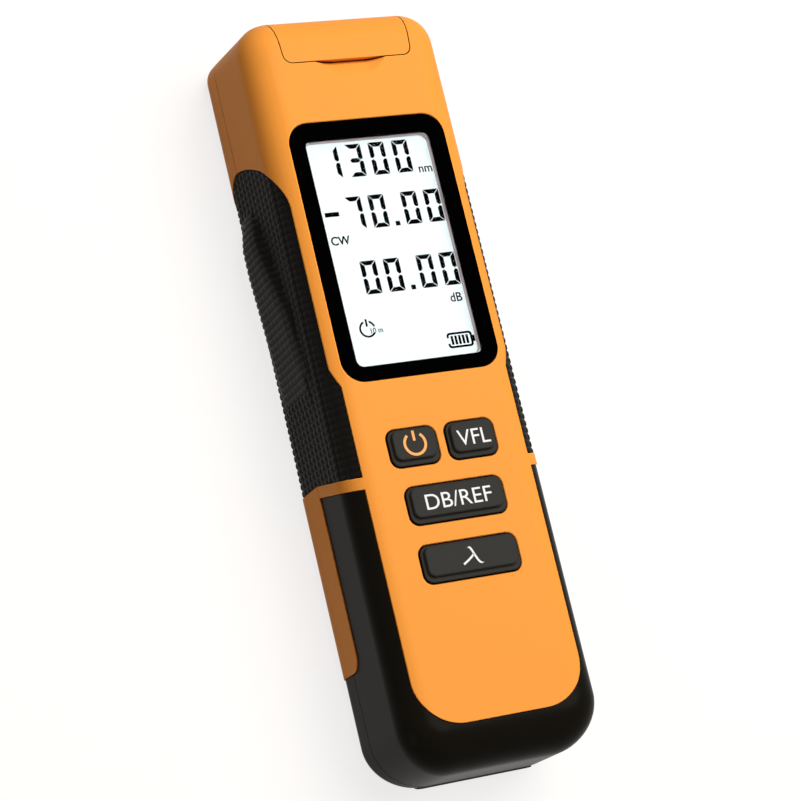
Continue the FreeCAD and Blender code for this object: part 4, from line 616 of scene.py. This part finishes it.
# ---------------------------------------------------------------- back: cells, contacts, cover and screws
# Three small cells in printed film between steel contacts, a sliding black cover over them, and four
# black-oxide screws in the rear half.
CELL_BAND_Y = -0.0375  # the copper-coloured band of the film begins here
film = moulding("cell_film", (0.02, 0.02, 0.025), 0.22, mottle=0.1, grain=0.05, Coat_Weight=0.4)
tree = film.node_tree
shape = tree.nodes.new("ShaderNodeNewGeometry")
facing = tree.nodes.new("ShaderNodeSeparateXYZ")
place = tree.nodes.new("ShaderNodeTexCoord")
along = tree.nodes.new("ShaderNodeSeparateXYZ")
band = tree.nodes.new("ShaderNodeMath")
band.operation = "GREATER_THAN"
band.inputs[1].default_value = CELL_BAND_Y
colors = tree.nodes.new("ShaderNodeMix")
colors.data_type = "RGBA"
colors.inputs["A"].default_value = (0.018, 0.018, 0.022, 1)
colors.inputs["B"].default_value = (0.40, 0.25, 0.10, 1)
end = tree.nodes.new("ShaderNodeMath")
end.operation = "ABSOLUTE"
bare = tree.nodes.new("ShaderNodeMath")
bare.operation = "GREATER_THAN"
bare.inputs[1].default_value = 0.9
capped = tree.nodes.new("ShaderNodeMix")
capped.data_type = "RGBA"
capped.inputs["B"].default_value = (0.55, 0.55, 0.56, 1)
tree.links.new(shape.outputs["Normal"], facing.inputs[0])
tree.links.new(place.outputs["Object"], along.inputs[0])
tree.links.new(along.outputs["Y"], band.inputs[0])
tree.links.new(band.outputs[0], colors.inputs["Factor"])
tree.links.new(facing.outputs["Y"], end.inputs[0])
tree.links.new(end.outputs[0], bare.inputs[0])
tree.links.new(bare.outputs[0], capped.inputs["Factor"])
tree.links.new(colors.outputs["Result"], capped.inputs["A"])
tree.links.new(capped.outputs["Result"], tree.nodes["Group"].inputs["Color"])
tree.links.new(bare.outputs[0], tree.nodes["Principled BSDF"].inputs["Metallic"])
dress(film, "battery_1", "battery_2", "battery_3")
dress(metal("spring_steel", (0.62, 0.61, 0.58), 0.28, ring_scale=800, ring_depth=0.1),
      "contact_plates", "contact_springs")
dress(moulding("black_cover", (0.010, 0.0095, 0.009), 0.5, grain=0.35, grain_scale=2600, edge=0.0003, edge_highlight=1.0,
               Specular_IOR_Level=0.3), "battery_cover")
dress(metal("black_oxide", (0.05, 0.05, 0.052), 0.38, ring_scale=900, ring_depth=0.15), "case_screws")

# ---------------------------------------------------------------- studio
# A plain pale floor that keeps the object's shadow, one large soft lamp above and a weak one at the side,
# even light all round, and the camera.
FLOOR_GLOW, SKY_GLOW, AIR_LIGHT = 0.79, 0.95, 0.15
LAMPS = (("soft_lamp", (0.27, 0.25, 0.82), 0.75, 9.8), ("side_lamp", (-0.55, -0.35, 0.12), 0.25, 0.3))
bpy.ops.mesh.primitive_plane_add(size=6)
floor = bpy.context.object
floor.name = "floor"
paper = bpy.data.materials.new("white_paper")
paper.use_nodes = True
tree = paper.node_tree
matte = tree.nodes["Principled BSDF"]
matte.inputs["Base Color"].default_value = (0.25, 0.23, 0.21, 1)
matte.inputs["Roughness"].default_value = 0.9
matte.inputs["Specular IOR Level"].default_value = 0.0
glow = tree.nodes.new("ShaderNodeEmission")
both = tree.nodes.new("ShaderNodeAddShader")


def pale_for_views(tree, dark, bright, socket):
    """Bright where the camera looks straight, in a reflection or through glass, and dark as a source of light."""
    rays = tree.nodes.new("ShaderNodeLightPath")
    first, second = (tree.nodes.new("ShaderNodeMath") for _ in range(2))
    first.operation = second.operation = "MAXIMUM"
    tree.links.new(rays.outputs["Is Camera Ray"], first.inputs[0])
    tree.links.new(rays.outputs["Is Glossy Ray"], first.inputs[1])
    tree.links.new(first.outputs[0], second.inputs[0])
    tree.links.new(rays.outputs["Is Transmission Ray"], second.inputs[1])
    level = tree.nodes.new("ShaderNodeMapRange")
    level.inputs["To Min"].default_value = dark
    level.inputs["To Max"].default_value = bright
    tree.links.new(second.outputs[0], level.inputs["Value"])
    tree.links.new(level.outputs["Result"], socket)


pale_for_views(tree, 0.0, FLOOR_GLOW, glow.inputs["Strength"])
tree.links.new(matte.outputs["BSDF"], both.inputs[0])
tree.links.new(glow.outputs["Emission"], both.inputs[1])
tree.links.new(both.outputs["Shader"], tree.nodes["Material Output"].inputs["Surface"])
floor.data.materials.append(paper)

world = bpy.data.worlds.new("studio")
bpy.context.scene.world = world
world.use_nodes = True
tree = world.node_tree
air = tree.nodes["Background"]
air.inputs["Color"].default_value = (1.0, 0.80, 0.62, 1)
air.inputs["Strength"].default_value = AIR_LIGHT
sky = tree.nodes.new("ShaderNodeBackground")
sky.inputs["Color"].default_value = (1, 1, 1, 1)
sky.inputs["Strength"].default_value = SKY_GLOW
either = tree.nodes.new("ShaderNodeMixShader")
pale_for_views(tree, 0.0, 1.0, either.inputs["Fac"])
tree.links.new(air.outputs["Background"], either.inputs[1])
tree.links.new(sky.outputs["Background"], either.inputs[2])
tree.links.new(either.outputs["Shader"], tree.nodes["World Output"].inputs["Surface"])

for name, place, size, power in LAMPS:
    lamp = bpy.data.lights.new(name, "AREA")
    lamp.size = size
    lamp.energy = power
    holder = bpy.data.objects.new(name, lamp)
    holder.location = place
    holder.rotation_euler = Vector(place).to_track_quat("Z", "Y").to_euler()
    bpy.context.collection.objects.link(holder)

camera = bpy.data.cameras.new("camera")
camera.lens = 118.08
camera.sensor_width = 36
camera.clip_start = 0.01
viewer = bpy.data.objects.new("camera", camera)
viewer.location = (-0.2369, -0.1374, 0.5430)
viewer.rotation_euler = (radians(18.557), radians(-20.445), radians(-14.064))
bpy.context.collection.objects.link(viewer)
bpy.context.scene.camera = viewer
bpy.context.scene.view_settings.view_transform = "Standard"
